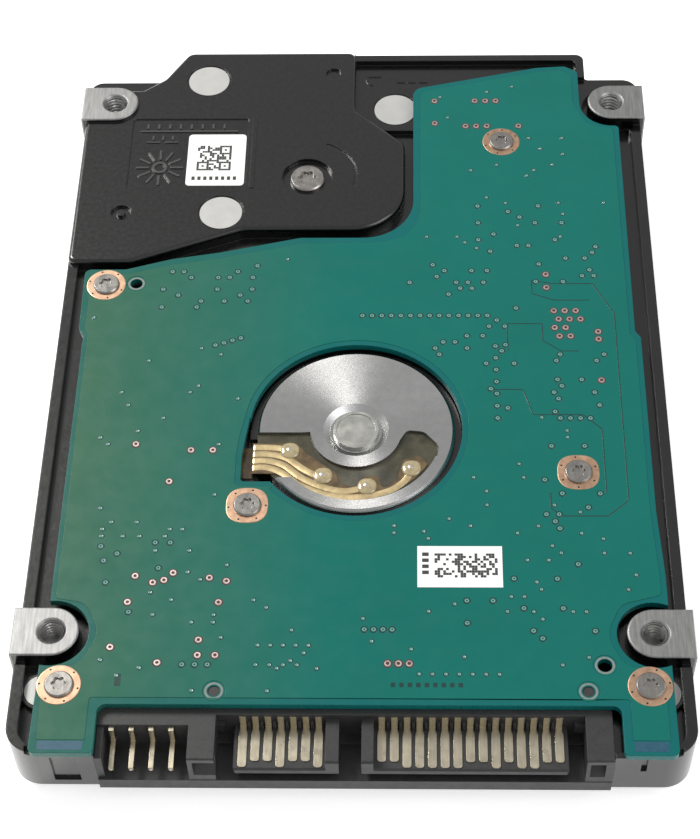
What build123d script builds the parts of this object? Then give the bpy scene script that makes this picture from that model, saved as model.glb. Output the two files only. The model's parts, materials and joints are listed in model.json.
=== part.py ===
from build123d import *
from math import cos, radians, sin
import os

# A 2.5 inch hard disk drive lying on its label, so the circuit board faces up.
# +X is to the right with the connector towards the viewer, +Y runs from the
# connector to the far end, +Z points out of the circuit board side.
# The origin is the middle of the label's face. All sizes are in millimetres.

# ---------------------------------------------------------------- driving sizes
WIDTH = 69.85
LENGTH = 100.2
HEIGHT = 9.5
FRONT = -LENGTH / 2
BACK = LENGTH / 2
SIDE = 34.4                       # half width of the casting between its mounting pads
CASTING_FRONT = FRONT + 0.45      # the connector's lip stands proud of the casting

# Standard mounting pattern, measured from the connector end.
MOUNT_X = 61.72 / 2
MOUNT_NEAR_Y = FRONT + 14.0
MOUNT_FAR_Y = MOUNT_NEAR_Y + 76.6
MOUNTS = [(side * MOUNT_X, y) for y in (MOUNT_NEAR_Y, MOUNT_FAR_Y) for side in (-1, 1)]
ROOF_MOUNT = MOUNTS[2]            # the pad that stands in the raised roof has no moat round it
TAP_R = 1.25                      # M3 minor radius
TAP_DEPTH = 3.0
SIDE_TAP_Z = HEIGHT - 3.0
SIDE_TAP_DEPTH = 2.6
PAD_R = 2.85
MOAT_R = 3.5
BOARD_GAP_R = 3.85                # the board's cut-outs round the pads

# Levels, counted up from the label's face.
LABEL_T = 0.1
SHEET_T = 0.5                     # cover sheet
PANEL_IN = LABEL_T + SHEET_T      # inside of the cover's raised panel
RIM = 2.0                         # where the cover's flange meets the casting
CEILING = 6.4                     # inside of the casting over the disks
BAY_CEILING = 7.8                 # inside of the casting over the voice coil
SILL = 2.9                        # floor of the connector's pocket
FLOOR = 7.3                       # casting face under the circuit board
SHELF = 8.0
SIDE_RIM = 8.2
CORNER_RIM = 8.8
BAY_ROOF = 9.0
BOARD_UNDER = 8.3
BOARD_T = 0.8
BOARD_TOP = BOARD_UNDER + BOARD_T
FOIL_T = 0.08                     # seals and stickers
FOIL_SINK = 0.12                  # depth of the recesses that the seals lie in
PANEL_SINK = 0.15                 # depth of the roof's sunk panel
CORNER_SEAT = BOARD_UNDER - 0.3   # what the small seals in the front corners lie on
POST_R = 2.0                      # posts under the board's screws

# Spindle and disks.
SPINDLE = (0.0, -9.8)
DISK_R = 32.5
DISK_BORE_R = 10.0
DISK_T = 0.8
DISK_GAP = 1.6
LOWER_DISK = 2.3                  # face of the disk next to the cover
UPPER_DISK = LOWER_DISK + DISK_T + DISK_GAP
UPPER_DISK_TOP = UPPER_DISK + DISK_T
CAVITY_R = 33.3
FLANGE_R = 10.9
FLANGE_FACE = 8.8
BOARD_BORE_R = 11.7
SHAFT_R = 1.5
SLEEVE_R = 2.5
HUB_LOW = 1.9

# Actuator, drawn parked with its heads off the disks.
PIVOT = (-6.5, 28.2)
ARM = 32.0                        # pivot to head
PARK = -23.5                      # direction of the arms when parked
COIL_PARK = 182.0                 # direction of the voice coil when parked
HUB_R = 5.2
BEARING_R = 3.6
ARM_LEVELS = [(1.45, 1.97), (3.43, 4.37), (5.83, 6.25)]
SPRING_LEVELS = [1.97, 3.35, 4.37, 5.75]        # lower faces of the four suspensions
SPRING_T = 0.08
SLIDER_T = 0.2
COIL_LOW = 2.9
COIL_HIGH = 4.9
YOKE_T = 1.2
MAGNET_ARC = (132, 196)
LATCH = (-29.0, 20.2)

BOARD_SCREWS = [(17.1, 33.9), (-29.4, 10.9), (-11.5, -20.2), (24.1, -15.8), (-29.5, -42.2), (30.0, -42.1)]
COVER_SCREWS = [(-30.9, -46.2), (30.9, -46.2), (-31.2, 42.8), (31.2, 42.8), (-31.3, 9.4), (31.4, 9.4)]
YOKE_SCREWS = [(-19.4, 44.9), (-16.7, 22.4)]
BRACKET_SCREWS = [(7.0, 43.4), (22.2, 38.0)]
SHELF_HOLE = (4.1, 40.7)
CORNER_SEALS = [(-31.4, -42.3), (31.4, -42.3)]
BOARD_HOLES = [(-25.9, 11.1, 0.7), (25.6, -39.7, 0.75)]
PEGS = [(-13.8, -42.8), (23.8, -42.7)]
HEAD_PLUG = (14.6, 40.6, 10.4, 4.0)             # centre and size of the head connector

# Connector, whose signal and power contacts share a 1.27 mm pitch.
PITCH = 1.27
SIGNAL_X = [-10.87 + PITCH * i for i in range(7)]
POWER_X = [3.10 + PITCH * i for i in range(15)]
LONG_SIGNAL = (0, 3, 6)
LONG_POWER = (2, 3, 4, 5, 6, 9, 11, 12)
JUMPER_X = [-23.95 + 2.0 * i for i in range(4)]
PLUG_LEFT = -25.4
PLUG_RIGHT = 26.1
PLUG_TOP = 8.2
PLUG_FLOOR = 3.9
TONGUE_TOP = 5.9
TONGUE_LOW = 4.9
TONGUE_FRONT = FRONT + 0.2
WALL_FRONT = -45.0
WALL_BACK = -44.3
JUMPER_WALL = -46.2


# ---------------------------------------------------------------- shape helpers
def block(x0, x1, y0, y1, z0, z1):
    """Box from its low and high sides."""
    return Pos((x0 + x1) / 2, (y0 + y1) / 2, (z0 + z1) / 2) * Box(x1 - x0, y1 - y0, z1 - z0)


def post(centre, radius, z0, z1):
    """Upright cylinder."""
    return Pos(centre[0], centre[1], (z0 + z1) / 2) * Cylinder(radius, z1 - z0)


def tube(centre, outer, inner, z0, z1):
    """Upright ring."""
    return post(centre, outer, z0, z1) - post(centre, inner, z0 - 1, z1 + 1)


def lift(face, z0, z1):
    """Extrudes a plan between two levels."""
    return extrude(Pos(0, 0, z0) * face, z1 - z0, dir=(0, 0, 1))


def outline(corners):
    """Closed plan from (x, y, corner radius) triples."""
    points = [(x, y) for x, y, _ in corners]
    return make_face(FilletPolyline(*points, radius=[r for _, _, r in corners], close=True))


def polar(centre, radius, angle):
    """Point at a distance and direction from a centre."""
    return (centre[0] + radius * cos(radians(angle)), centre[1] + radius * sin(radians(angle)))


def fan(centre, inner, outer, start, end):
    """Plan between two radii and two directions."""
    inside = CenterArc(centre, inner, start, end - start)
    outside = CenterArc(centre, outer, start, end - start)
    return make_face([inside, outside, Line(inside @ 0, outside @ 0), Line(inside @ 1, outside @ 1)])


def aim(centre, angle, shape):
    """Puts a shape drawn along +X from the origin at a centre, pointing at an angle."""
    return Pos(centre[0], centre[1], 0) * Rot(0, 0, angle) * shape


def edges_at(shape, z):
    """Edges that lie at one level."""
    return shape.edges().filter_by_position(Axis.Z, z - 0.01, z + 0.01)


def joined(shapes):
    """Separate solids of one sub-part, as a group."""
    return Compound(children=[solid for shape in shapes for solid in shape.solids()])


def driver_socket(centre, radius, z0, z1):
    """Six-lobed socket."""
    socket = post(centre, radius * 0.76, z0, z1)
    for i in range(6):
        socket += post(polar(centre, radius * 0.72, 60 * i), radius * 0.28, z0, z1)
    return socket


def screw(centre, head_r, head_t, shank_r, length, seat, up=True):
    """Low-headed screw. Its head stands on the seat's level and its shank goes the other way."""
    sign = 1 if up else -1
    crown = seat + sign * head_t
    head = chamfer(edges_at(post(centre, head_r, *sorted((seat, crown))), crown), head_t * 0.35)
    shank = post(centre, shank_r, *sorted((seat, seat - sign * length)))
    bottom = crown - sign * head_t * 0.6
    return head + shank - driver_socket(centre, head_r * 0.52, *sorted((bottom, crown + sign * 0.1)))


# ---------------------------------------------------------------- base casting
def casting_plan():
    """Plan of the casting, whose far corners are cut back beside the last mounting pads."""
    return outline([
        (-SIDE, CASTING_FRONT, 3.0), (SIDE, CASTING_FRONT, 3.0), (SIDE, 45.6, 1.8), (27.9, 45.6, 0.5),
        (27.9, 49.6, 1.0),
        (-0.9, 49.6, 0.3), (-1.4, BACK, 0.4), (-22.2, BACK, 1.4), (-25.0, 45.4, 2.0), (-SIDE, 45.4, 1.6),
    ])


def roof_plan():
    """Plan of the raised roof over the actuator and the voice coil."""
    return outline([
        (-SIDE, 14.7, 0.9), (-26.9, 14.7, 3.0), (-13.8, 19.8, 3.0), (5.3, 19.8, 6.3), (5.3, 33.9, 1.6),
        (-0.9, 39.8, 1.6), (-0.9, BACK, 1.0), (-22.2, BACK, 1.4), (-25.0, 45.4, 2.0), (-27.6, 43.4, 1.0),
        (-SIDE, 43.4, 0.9),
    ])


def cavity_plan():
    """Plan of the disk chamber and of the room beside it for the heads, filters and coil."""
    room = outline([
        (-32.4, 16.4, 1.5), (-26.6, 16.4, 2.0), (-20.0, 10.0, 1.0), (22.0, 4.0, 1.0), (28.4, 8.4, 1.5),
        (29.2, 12.6, 1.5), (32.3, 15.6, 1.5), (32.3, 34.6, 2.0), (25.2, 36.4, 2.5), (25.2, 47.4, 2.0),
        (-20.6, 47.4, 2.0), (-23.6, 42.9, 2.0), (-26.3, 42.9, 1.5), (-26.3, 36.6, 2.0), (-32.4, 36.6, 2.0),
    ])
    return room + Pos(*SPINDLE) * Circle(CAVITY_R)


def bay_plan():
    """Plan of the deeper bay under the raised roof."""
    return outline([
        (-32.4, 16.4, 1.5), (-26.6, 16.4, 2.0), (-13.6, 21.5, 2.0), (3.7, 21.5, 5.0), (3.7, 32.9, 1.5),
        (-2.6, 38.9, 1.5), (-2.6, 47.4, 1.5), (-20.6, 47.4, 2.0), (-23.6, 42.9, 2.0), (-26.3, 42.9, 1.5),
        (-26.3, 36.6, 2.0), (-32.4, 36.6, 2.0),
    ])


def pad_plan(mount, radius, reach):
    """Round-nosed plan of a mounting pad that runs out to the casting's side."""
    x, y = mount
    low, high = sorted((x, reach if x > 0 else -reach))
    return Pos(x, y) * Circle(radius) + Pos((low + high) / 2, y) * Rectangle(high - low, 2 * radius)


def board_recess():
    """Space over the casting's floor that takes the circuit board, with the shelf at its far end."""
    floor = outline([
        (-33.2, -49.0, 2.2), (33.2, -49.0, 2.2), (33.2, 37.0, 1.0), (-33.2, 37.0, 1.0),
    ])
    shelf = outline([(-2.0, 30.0, 1.0), (26.9, 30.0, 1.0), (26.9, 48.6, 0.8), (-2.0, 48.6, 0.8)])
    recess = lift(floor, FLOOR, HEIGHT) + lift(shelf, SHELF, HEIGHT)
    return recess


def casting_shell():
    """Outer walls, recess floor, raised roof and mounting pads."""
    plan = casting_plan()
    shell = lift(plan, RIM, SIDE_RIM)
    front = plan & Pos(0, FRONT + 5.2) * Rectangle(WIDTH, 10.4)
    shell += lift(front, RIM, CORNER_RIM)
    shell += lift(plan & Pos(13.4, 48.0) * Rectangle(29.0, 5.0), RIM, CORNER_RIM)
    shell -= board_recess()
    roof = lift(roof_plan(), RIM, BAY_ROOF)
    shell += fillet(edges_at(roof, BAY_ROOF), 0.5)
    for mount in MOUNTS:
        if mount != ROOF_MOUNT:
            shell -= lift(pad_plan(mount, MOAT_R, SIDE - 0.9), FLOOR, HEIGHT)
        pad = lift(pad_plan(mount, PAD_R, WIDTH / 2), RIM + 1.0, HEIGHT)
        shell += chamfer(edges_at(pad, HEIGHT), 0.12)
    for spot in CORNER_SEALS:
        shell += post(spot, 2.1, FLOOR - 0.2, CORNER_SEAT)
    for spot in BOARD_SCREWS:
        shell += post(spot, POST_R, FLOOR - 0.3, BOARD_UNDER)
    return shell + tube(SPINDLE, FLANGE_R + 0.8, FLANGE_R, CEILING, SHELF)


def casting_marks():
    """Raised casting marks beside the voice coil: a twelve-ray dial, scale lines and a rib."""
    low = BAY_ROOF - 0.2
    high = BAY_ROOF - 0.03
    dial = (-24.6, 29.9)
    marks = tube(dial, 0.95, 0.6, low, high)
    for i in range(12):
        marks += aim(dial, 30 * i, block(1.3, 2.9, -0.14, 0.14, low, high))
    marks += block(-27.4, -15.3, 35.95, 36.2, low, high)
    marks += block(-26.5, -24.8, 34.1, 34.3, low, high)
    marks += block(-24.2, -22.6, 34.1, 34.3, low, high)
    for i in range(8):
        marks += block(-26.6 + 1.35 * i, -26.35 + 1.35 * i, 36.5, 37.3, low, high)
    for i in range(3):
        marks += block(-25.8 + 1.2 * i, -25.6 + 1.2 * i, 34.6, 35.3, low, high)
        marks += block(4.3 + 1.4 * i, 5.3 + 1.4 * i, 45.4, 45.6, SHELF - 0.1, SHELF + 0.1)
    marks += lift(fan((1.7, 46.2), 1.2, 1.4, 180, 250), SHELF - 0.1, SHELF + 0.1)
    return marks + block(0.7, 2.3, 46.4, 46.6, SHELF - 0.1, SHELF + 0.1)


def mounting_threads():
    """Tapped holes of the four mounting pads, up through their faces and in from the sides."""
    holes = []
    for x, y in MOUNTS:
        holes.append(post((x, y), TAP_R, HEIGHT - TAP_DEPTH, HEIGHT + 1))
        holes.append(Pos(x, y, HEIGHT - 0.15) * Cone(TAP_R, TAP_R + 0.35, 0.35))
        side = 1 if x > 0 else -1
        bore = Rot(0, 90, 0) * Cylinder(TAP_R, SIDE_TAP_DEPTH + 1)
        holes.append(Pos(side * (WIDTH - SIDE_TAP_DEPTH + 1) / 2, y, SIDE_TAP_Z) * bore)
    return holes


def base_casting():
    """Die-cast tray: disk chamber below, circuit board recess above, mounting pads at its corners."""
    body = casting_shell()
    body -= lift(cavity_plan(), RIM - 1, CEILING)
    body -= lift(bay_plan(), RIM - 1, BAY_CEILING)

    # Front wall under the board's tabs, connector pocket and small grooves in the front face.
    body -= block(-32.3, 32.8, FRONT - 1, FRONT + 1.2, BOARD_UNDER - 0.1, HEIGHT + 1)
    body -= block(PLUG_LEFT - 0.05, PLUG_RIGHT + 0.05, FRONT - 1, WALL_BACK + 0.05, SILL, HEIGHT + 1)
    body -= block(PLUG_LEFT - 0.05, PLUG_RIGHT + 0.05, WALL_BACK - 0.2, -41.6, FLOOR, HEIGHT + 1)
    body -= block(-29.9, -27.2, FRONT - 1, CASTING_FRONT + 0.3, 3.0, CORNER_RIM - 1.1)
    body -= block(28.8, 29.4, FRONT - 1, CASTING_FRONT + 0.35, 5.5, CORNER_RIM + 1)

    # Motor bore with the notch for its cable.
    body -= post(SPINDLE, FLANGE_R, CEILING - 1, HEIGHT)
    body -= block(-13.0, -9.0, SPINDLE[1] - 6.8, SPINDLE[1] - 0.8, FLOOR, BAY_ROOF)

    # Pivot recess, service holes with the rims that take their seals, head connector opening.
    body -= post(PIVOT, 3.05, BAY_ROOF - 0.55, HEIGHT) + post(PIVOT, 1.1, BAY_CEILING - 1, HEIGHT)
    for spot in YOKE_SCREWS:
        body -= post(spot, 2.75, BAY_ROOF - FOIL_SINK, HEIGHT)
        body -= post(spot, 1.75, BAY_ROOF - 0.65, HEIGHT) + post(spot, 0.95, BAY_CEILING - 1, HEIGHT)
    body -= post(SHELF_HOLE, 2.75, SHELF - FOIL_SINK, HEIGHT) + post(SHELF_HOLE, 1.2, CEILING - 1, HEIGHT)
    x, y, w, d = HEAD_PLUG
    body -= block(x - w / 2, x + w / 2, y - d / 2, y + d / 2, CEILING - 1, HEIGHT)

    # Blind screw holes.
    for spot in BOARD_SCREWS:
        body -= post(spot, 0.8, BOARD_TOP - 2.45, HEIGHT)
    for spot in COVER_SCREWS:
        body -= post(spot, 0.85, RIM - 1, RIM + 2.6)
    for spot in BRACKET_SCREWS + [RAMP_SCREW]:
        body -= post(spot, 0.6, CEILING - 1, CEILING + 0.65)
    for hole in mounting_threads():
        body -= hole

    # Cast-in details of the roof: a sunk panel with raised marks, a rib, dimples and an arc.
    body -= lift(outline([(-28.4, 26.3, 0.5), (-14.0, 26.3, 0.5), (-14.0, 38.2, 0.5), (-28.4, 38.2, 0.5)]),
                 BAY_ROOF - PANEL_SINK, HEIGHT)
    body += casting_marks()
    body += block(-13.5, -12.95, 26.4, 38.3, BAY_ROOF - 0.2, BAY_ROOF + 0.1)
    body -= tube((-28.7, 22.4), 1.2, 0.5, BAY_ROOF - 0.35, HEIGHT)
    body -= post((-3.7, 46.1), 0.95, BAY_ROOF - 0.3, HEIGHT)
    body -= lift(fan(PIVOT, 5.7, 6.1, -15, 68), BAY_ROOF - 0.12, HEIGHT)
    return body - cover_gasket()


# ---------------------------------------------------------------- cover side
def cover_gasket():
    """Seal in a groove round the casting's lower rim."""
    plan = cavity_plan()
    return lift(offset(plan, 0.8) - offset(plan, 0.3), RIM, RIM + 0.35)


def cover():
    """Pressed lid: a flange that sits on the casting and a raised panel over the disks."""
    inside = offset(cavity_plan(), -0.55)
    flange = lift(offset(casting_plan(), -0.3), RIM - SHEET_T, RIM)
    panel = lift(offset(cavity_plan(), -0.05), LABEL_T, RIM - SHEET_T)
    panel = chamfer(edges_at(panel, LABEL_T), 0.3)
    lid = flange + panel - lift(inside, PANEL_IN, RIM + 1)
    for spot in COVER_SCREWS:
        lid -= post(spot, 0.95, 0, RIM + 1)
    return lid


def cover_screws():
    return joined([screw(spot, 1.6, 0.55, 0.85, 3.0, RIM - SHEET_T, up=False) for spot in COVER_SCREWS])


def product_label():
    """Paper label on the cover's panel."""
    return lift(offset(cavity_plan(), -1.4), 0, LABEL_T)


# ---------------------------------------------------------------- circuit board
def circuit_board():
    """Board with cut-outs round the mounting pads and the motor."""
    tab_front = -49.85
    edge = -44.35
    far_x, far_y = 30.86, MOUNT_FAR_Y - BOARD_GAP_R
    plan = outline([
        (-31.9, tab_front, 0.6), (PLUG_LEFT, tab_front, 0.5), (PLUG_LEFT, edge, 0.9), (27.0, edge, 0.9),
        (27.0, tab_front, 0.5), (32.4, tab_front, 0.7), (32.35, -40.2, 0.3), (32.5, -31.9, 0.5),
        (32.5, -28.9, 0.6), (32.1, -20.9, 1.0), (32.1, 3.0, 0.5), (31.5, 3.9, 0.5), (31.6, far_y, 0.5),
        (far_x, far_y, 0), (far_x, MOUNT_FAR_Y, 0), (27.0, MOUNT_FAR_Y, 0), (27.0, 46.2, 0.8),
        (25.4, 47.15, 0.8), (21.9, 46.9, 3.0), (6.35, 43.2, 1.5), (6.35, 18.2, 6.0), (-7.0, 18.2, 2.0),
        (-16.5, 15.9, 2.0), (-22.0, 14.9, 2.0), (-27.3, 13.3, 1.5), (-32.1, 13.3, 0.8), (-32.0, 4.5, 0.4),
        (-31.4, 3.2, 0.4), (-31.4, -32.2, 0.4), (-31.75, -40.2, 0.3),
    ])
    for mount in MOUNTS:
        if mount != ROOF_MOUNT:
            plan -= Pos(*mount) * Circle(BOARD_GAP_R)
    plan -= Pos(*SPINDLE) * Circle(BOARD_BORE_R)
    plan -= outline([
        (-11.75, -8.5, 0), (-12.4, -13.5, 0.5), (-12.4, -17.05, 0.4), (-8.6, -17.05, 0), (-8.6, -9, 0),
    ])
    for spot in BOARD_SCREWS:
        plan -= Pos(*spot) * Circle(0.85)
    for x, y, r in BOARD_HOLES:
        plan -= Pos(x, y) * Circle(r)
    for peg in PEGS:
        plan -= Pos(*peg) * Circle(0.6)
    return lift(plan, BOARD_UNDER, BOARD_TOP)


def board_screws():
    return joined([screw(spot, 1.5, 0.38, 0.8, 2.4, BOARD_TOP) for spot in BOARD_SCREWS])


def board_insulator():
    """Plastic sheet that keeps the board's parts off the casting."""
    plan = outline([(-27.5, -37.0, 1.5), (27.5, -37.0, 1.5), (27.5, 30.5, 1.5), (9.0, 30.5, 2.0),
                    (9.0, 17.0, 2.0), (-10.0, 14.0, 3.0), (-27.5, 8.0, 1.5)])
    plan -= Pos(*SPINDLE) * Circle(FLANGE_R + 1.2)
    for spot in BOARD_SCREWS:
        plan -= Pos(*spot) * Circle(2.4)
    return lift(plan, FLOOR, FLOOR + 0.15)


def chip(centre, w, d, t=0.7):
    """Flat package under the board, with its first-pin mark."""
    x, y = centre
    body = block(x - w / 2, x + w / 2, y - d / 2, y + d / 2, BOARD_UNDER - t, BOARD_UNDER)
    body = chamfer(edges_at(body, BOARD_UNDER - t), 0.1)
    return body - post((x - w / 2 + 0.8, y - d / 2 + 0.8), 0.3, BOARD_UNDER - t - 0.1, BOARD_UNDER - t + 0.08)


def controller_chip():
    return chip((21.0, 1.5), 12.0, 12.0)


def memory_chips():
    return joined([chip((17.5, 19.0), 8.0, 11.0), chip((-2.5, -33.5), 5.0, 4.0, 0.6)])


def motor_driver_chip():
    return chip((-20.5, -3.5), 9.0, 9.0)


def board_small_parts():
    """Rows of passives under the board, two coils and the motor cable's contact block."""
    parts = []
    for i in range(6):
        parts.append(block(-24.6 + 1.9 * i, -23.6 + 1.9 * i, -28.6, -26.9, BOARD_UNDER - 0.5, BOARD_UNDER))
        parts.append(block(8.0 + 1.9 * i, 9.0 + 1.9 * i, -30.6, -28.9, BOARD_UNDER - 0.5, BOARD_UNDER))
        parts.append(block(13.0 + 1.5 * i, 13.8 + 1.5 * i, 27.0, 28.4, BOARD_UNDER - 0.4, BOARD_UNDER))
    parts.append(block(-22.0, -18.8, -36.0, -32.8, BOARD_UNDER - 0.8, BOARD_UNDER))
    parts.append(block(15.0, 18.2, -36.0, -32.8, BOARD_UNDER - 0.8, BOARD_UNDER))
    parts.append(block(-16.2, -13.4, *CABLE_Y, CABLE_RUN + CABLE_T, BOARD_UNDER))
    return joined(parts)


# ---------------------------------------------------------------- connector
CONTACT_T = 0.12
TAIL = 7.8                        # level where the contacts go back through the wall


def contact(x, front):
    """Contact strip: a round-nosed blade on the tongue, a riser on the wall and a tail back to the board."""
    wide, neck = 0.44, 0.33
    blade = outline([
        (x - wide, front, 0.3), (x + wide, front, 0.3), (x + wide, WALL_FRONT - 0.9, 0.3),
        (x + neck, WALL_FRONT - 0.5, 0.3), (x + neck, WALL_FRONT, 0),
        (x - neck, WALL_FRONT, 0), (x - neck, WALL_FRONT - 0.5, 0.3), (x - wide, WALL_FRONT - 0.9, 0.3),
    ])
    strip = lift(blade, TONGUE_TOP, TONGUE_TOP + CONTACT_T)
    strip += block(x - neck, x + neck, WALL_FRONT - CONTACT_T, WALL_FRONT, TONGUE_TOP, TAIL + CONTACT_T)
    strip += block(x - 0.25, x + 0.25, WALL_FRONT - CONTACT_T, -43.4, TAIL, TAIL + CONTACT_T)
    strip += block(x - 0.25, x + 0.25, -43.4 - CONTACT_T, -43.4, TAIL, BOARD_UNDER)
    return strip + block(x - 0.25, x + 0.25, -43.4, -42.6, BOARD_UNDER - CONTACT_T, BOARD_UNDER)


def contacts(places, long_ones):
    return [contact(x, FRONT + 0.45 if i in long_ones else FRONT + 1.1) for i, x in enumerate(places)]


def jumper_pin(x):
    """Square pin: a tapered end, a run back to the wall, a riser and a tail to the board."""
    half, run_low, tail_low = 0.25, 5.4, 7.4
    pin = block(x - half, x + half, TONGUE_FRONT, JUMPER_WALL, run_low, run_low + 2 * half)
    pin = chamfer(pin.faces().sort_by(Axis.Y)[0].edges(), 0.14)
    pin += block(x - half, x + half, JUMPER_WALL - 0.5, JUMPER_WALL, run_low, tail_low + 2 * half)
    pin += block(x - half, x + half, JUMPER_WALL - 0.5, -43.4, tail_low, tail_low + 2 * half)
    return pin + block(x - half, x + half, -43.4 - 2 * half, -43.4, tail_low, BOARD_UNDER)


def signal_contacts():
    return joined(contacts(SIGNAL_X, LONG_SIGNAL))


def power_contacts():
    return joined(contacts(POWER_X, LONG_POWER))


def jumper_pins():
    return joined([jumper_pin(x) for x in JUMPER_X])


def plug_wing(x0, x1, notch0, notch1):
    """Guide beside the tongues, with a notch and a ramp in its front."""
    wing = block(x0, x1, FRONT + 0.05, WALL_FRONT, SILL, PLUG_TOP)
    wing = chamfer(wing.faces().sort_by(Axis.Y)[0].edges().filter_by(Axis.X), 0.15)
    notch = Plane.YZ.offset(notch0) * make_face(Polyline(
        (FRONT - 1, 7.5), (FRONT + 1.1, 7.5), (FRONT + 1.1, 6.0), (FRONT - 1, 3.9), close=True))
    return wing - extrude(notch, notch1 - notch0, dir=(1, 0, 0))


def plug_tongue(x0, x1, key0, key1):
    """Tongue that carries the contacts, with its raised key at one end."""
    tongue = block(x0, x1, TONGUE_FRONT, WALL_FRONT, TONGUE_LOW, TONGUE_TOP)
    key = block(key0, key1, TONGUE_FRONT, WALL_FRONT, TONGUE_LOW, TONGUE_TOP + 1.5)
    return chamfer(tongue.faces().sort_by(Axis.Y)[0].edges(), 0.2) + chamfer(
        key.faces().sort_by(Axis.Y)[0].edges().filter_by(Axis.X), 0.2)


def sata_housing():
    """Connector moulding: floor with a front lip, back wall, two keyed tongues and the jumper recess."""
    body = block(PLUG_LEFT, PLUG_RIGHT, WALL_FRONT, WALL_BACK, SILL, PLUG_TOP)
    body += block(PLUG_LEFT, PLUG_RIGHT, FRONT, WALL_FRONT, SILL, PLUG_FLOOR)
    body += block(PLUG_LEFT, PLUG_RIGHT, FRONT, CASTING_FRONT, RIM + 0.2, PLUG_FLOOR)
    body += block(PLUG_LEFT, -16.2, JUMPER_WALL, WALL_FRONT, PLUG_FLOOR, PLUG_TOP)
    body += block(PLUG_LEFT, PLUG_LEFT + 0.7, FRONT + 0.3, JUMPER_WALL, PLUG_FLOOR, PLUG_TOP - 0.3)
    body += block(-13.5, 23.4, JUMPER_WALL, WALL_FRONT, PLUG_FLOOR, PLUG_FLOOR + 0.6)
    body += block(-13.5, -12.7, WALL_FRONT - 0.5, WALL_FRONT, 5.6, 6.9)
    body += block(22.4, 23.4, WALL_FRONT - 0.5, WALL_FRONT, 5.8, 7.1)
    body += plug_wing(-16.2, -13.5, -15.7, -13.5) + plug_wing(23.4, PLUG_RIGHT, 23.8, 25.3)
    body += plug_tongue(-11.75, -1.15, -2.5, -1.15) + plug_tongue(1.1, 21.75, 1.1, 2.3)
    for places in (SIGNAL_X, POWER_X):
        for x in places[:-1]:
            body += block(x + 0.5, x + PITCH - 0.5, WALL_FRONT - 0.5, WALL_FRONT, TONGUE_TOP, 7.2)
    body += block(PLUG_LEFT + 0.5, PLUG_RIGHT - 0.4, WALL_BACK, -41.8, 7.5, BOARD_UNDER)
    for peg in PEGS:
        body += post(peg, 0.6, BOARD_UNDER, BOARD_TOP - 0.1)
    return body - signal_contacts() - power_contacts() - jumper_pins()


# ---------------------------------------------------------------- spindle motor
CABLE = FLANGE_FACE - 0.38        # floor of the flange's cable pocket
CABLE_T = 0.12
CABLE_RUN = FLOOR + 0.2           # underside of the cable where it lies under the board
CABLE_Y = (SPINDLE[1] - 5.8, SPINDLE[1] - 1.75)
FOLD_X = -11.3                    # where the cable turns down over the flange's edge
LEADS = [(SPINDLE[0] + x, SPINDLE[1] + y) for x, y in ((-7.2, -2.75), (-3.5, -6.1), (1.3, -7.5), (6.1, -5.1))]


def motor_outline(corners):
    """Closed plan from (x, y, corner radius) triples measured from the spindle."""
    return Pos(*SPINDLE) * outline(corners)


def pocket_plan():
    """Curved cable pocket: open at the left edge, with a rounded lobe at its right end."""
    way_out = motor_outline([
        (-12.5, -0.42, 0), (-5.1, -0.42, 0.5), (-4.4, -2.6, 0), (-6.4, -6.45, 0), (-12.5, -6.45, 0),
    ])
    lobe = motor_outline([
        (4.8, -1.5, 0), (5.6, -0.1, 0.7), (7.5, -0.3, 1.3), (9.15, -2.2, 1.2), (8.9, -3.6, 0), (6.0, -4.0, 0),
    ])
    return fan(SPINDLE, 5.05, 9.45, 184, 344) + way_out + lobe


def motor_flange():
    """Turned plate that closes the casting's motor bore and carries the bearing and the stator."""
    plate = chamfer(edges_at(post(SPINDLE, FLANGE_R, FLOOR, FLANGE_FACE), FLANGE_FACE), 0.3)
    plate += post(SPINDLE, 3.0, 4.5, FLOOR)
    plate -= Pos(*SPINDLE, FLANGE_FACE - 0.15) * Cone(2.85, 3.85, 0.6)
    plate -= post(SPINDLE, SLEEVE_R, 4.0, HEIGHT)
    return plate - lift(pocket_plan(), CABLE, HEIGHT)


def motor_cable():
    """Flat cable with a lobe at each motor lead; it folds over the flange's edge and in under the board."""
    lobes = motor_outline([
        (-9.0, -1.75, 0), (-6.5, -1.75, 0.9), (-5.3, -3.2, 0.7), (-2.1, -5.7, 0.8), (-1.7, -7.2, 0.5),
        (0.0, -7.5, 0.6), (0.9, -6.2, 0.5), (2.5, -6.1, 0.5), (3.0, -7.9, 0.4), (4.5, -6.7, 0.6),
        (5.1, -4.0, 0.8), (7.0, -3.3, 0.8), (7.9, -4.6, 0.8), (9.0, -9.5, 0), (-9.0, -9.5, 0),
    ])
    run = lift(lobes & Pos(*SPINDLE) * Circle(9.05), CABLE, CABLE + CABLE_T)
    run += block(FOLD_X, -6.5, *CABLE_Y, CABLE, CABLE + CABLE_T)
    run += block(FOLD_X, FOLD_X + CABLE_T, *CABLE_Y, CABLE_RUN, CABLE + CABLE_T)
    return run + block(-16.4, FOLD_X + CABLE_T, *CABLE_Y, CABLE_RUN, CABLE_RUN + CABLE_T)


def motor_lead_joints():
    """Sealed solder joints of the four motor leads."""
    low = CABLE + CABLE_T
    return joined([Pos(x, y, low + 0.1) * Cone(0.95, 0.5, 0.2) for x, y in LEADS])


def motor_end_plate():
    return post(SPINDLE, 2.15, 7.8, FLANGE_FACE - 0.08)


def bearing_sleeve():
    """Fluid bearing sleeve, closed at its outer end by the end plate."""
    sleeve = tube(SPINDLE, SLEEVE_R, SHAFT_R + 0.03, 3.2, FLANGE_FACE)
    return sleeve - post(SPINDLE, 2.15, 7.8, HEIGHT)


TEETH = 9
CORE_LOW = 4.6
CORE_HIGH = 6.0


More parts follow.
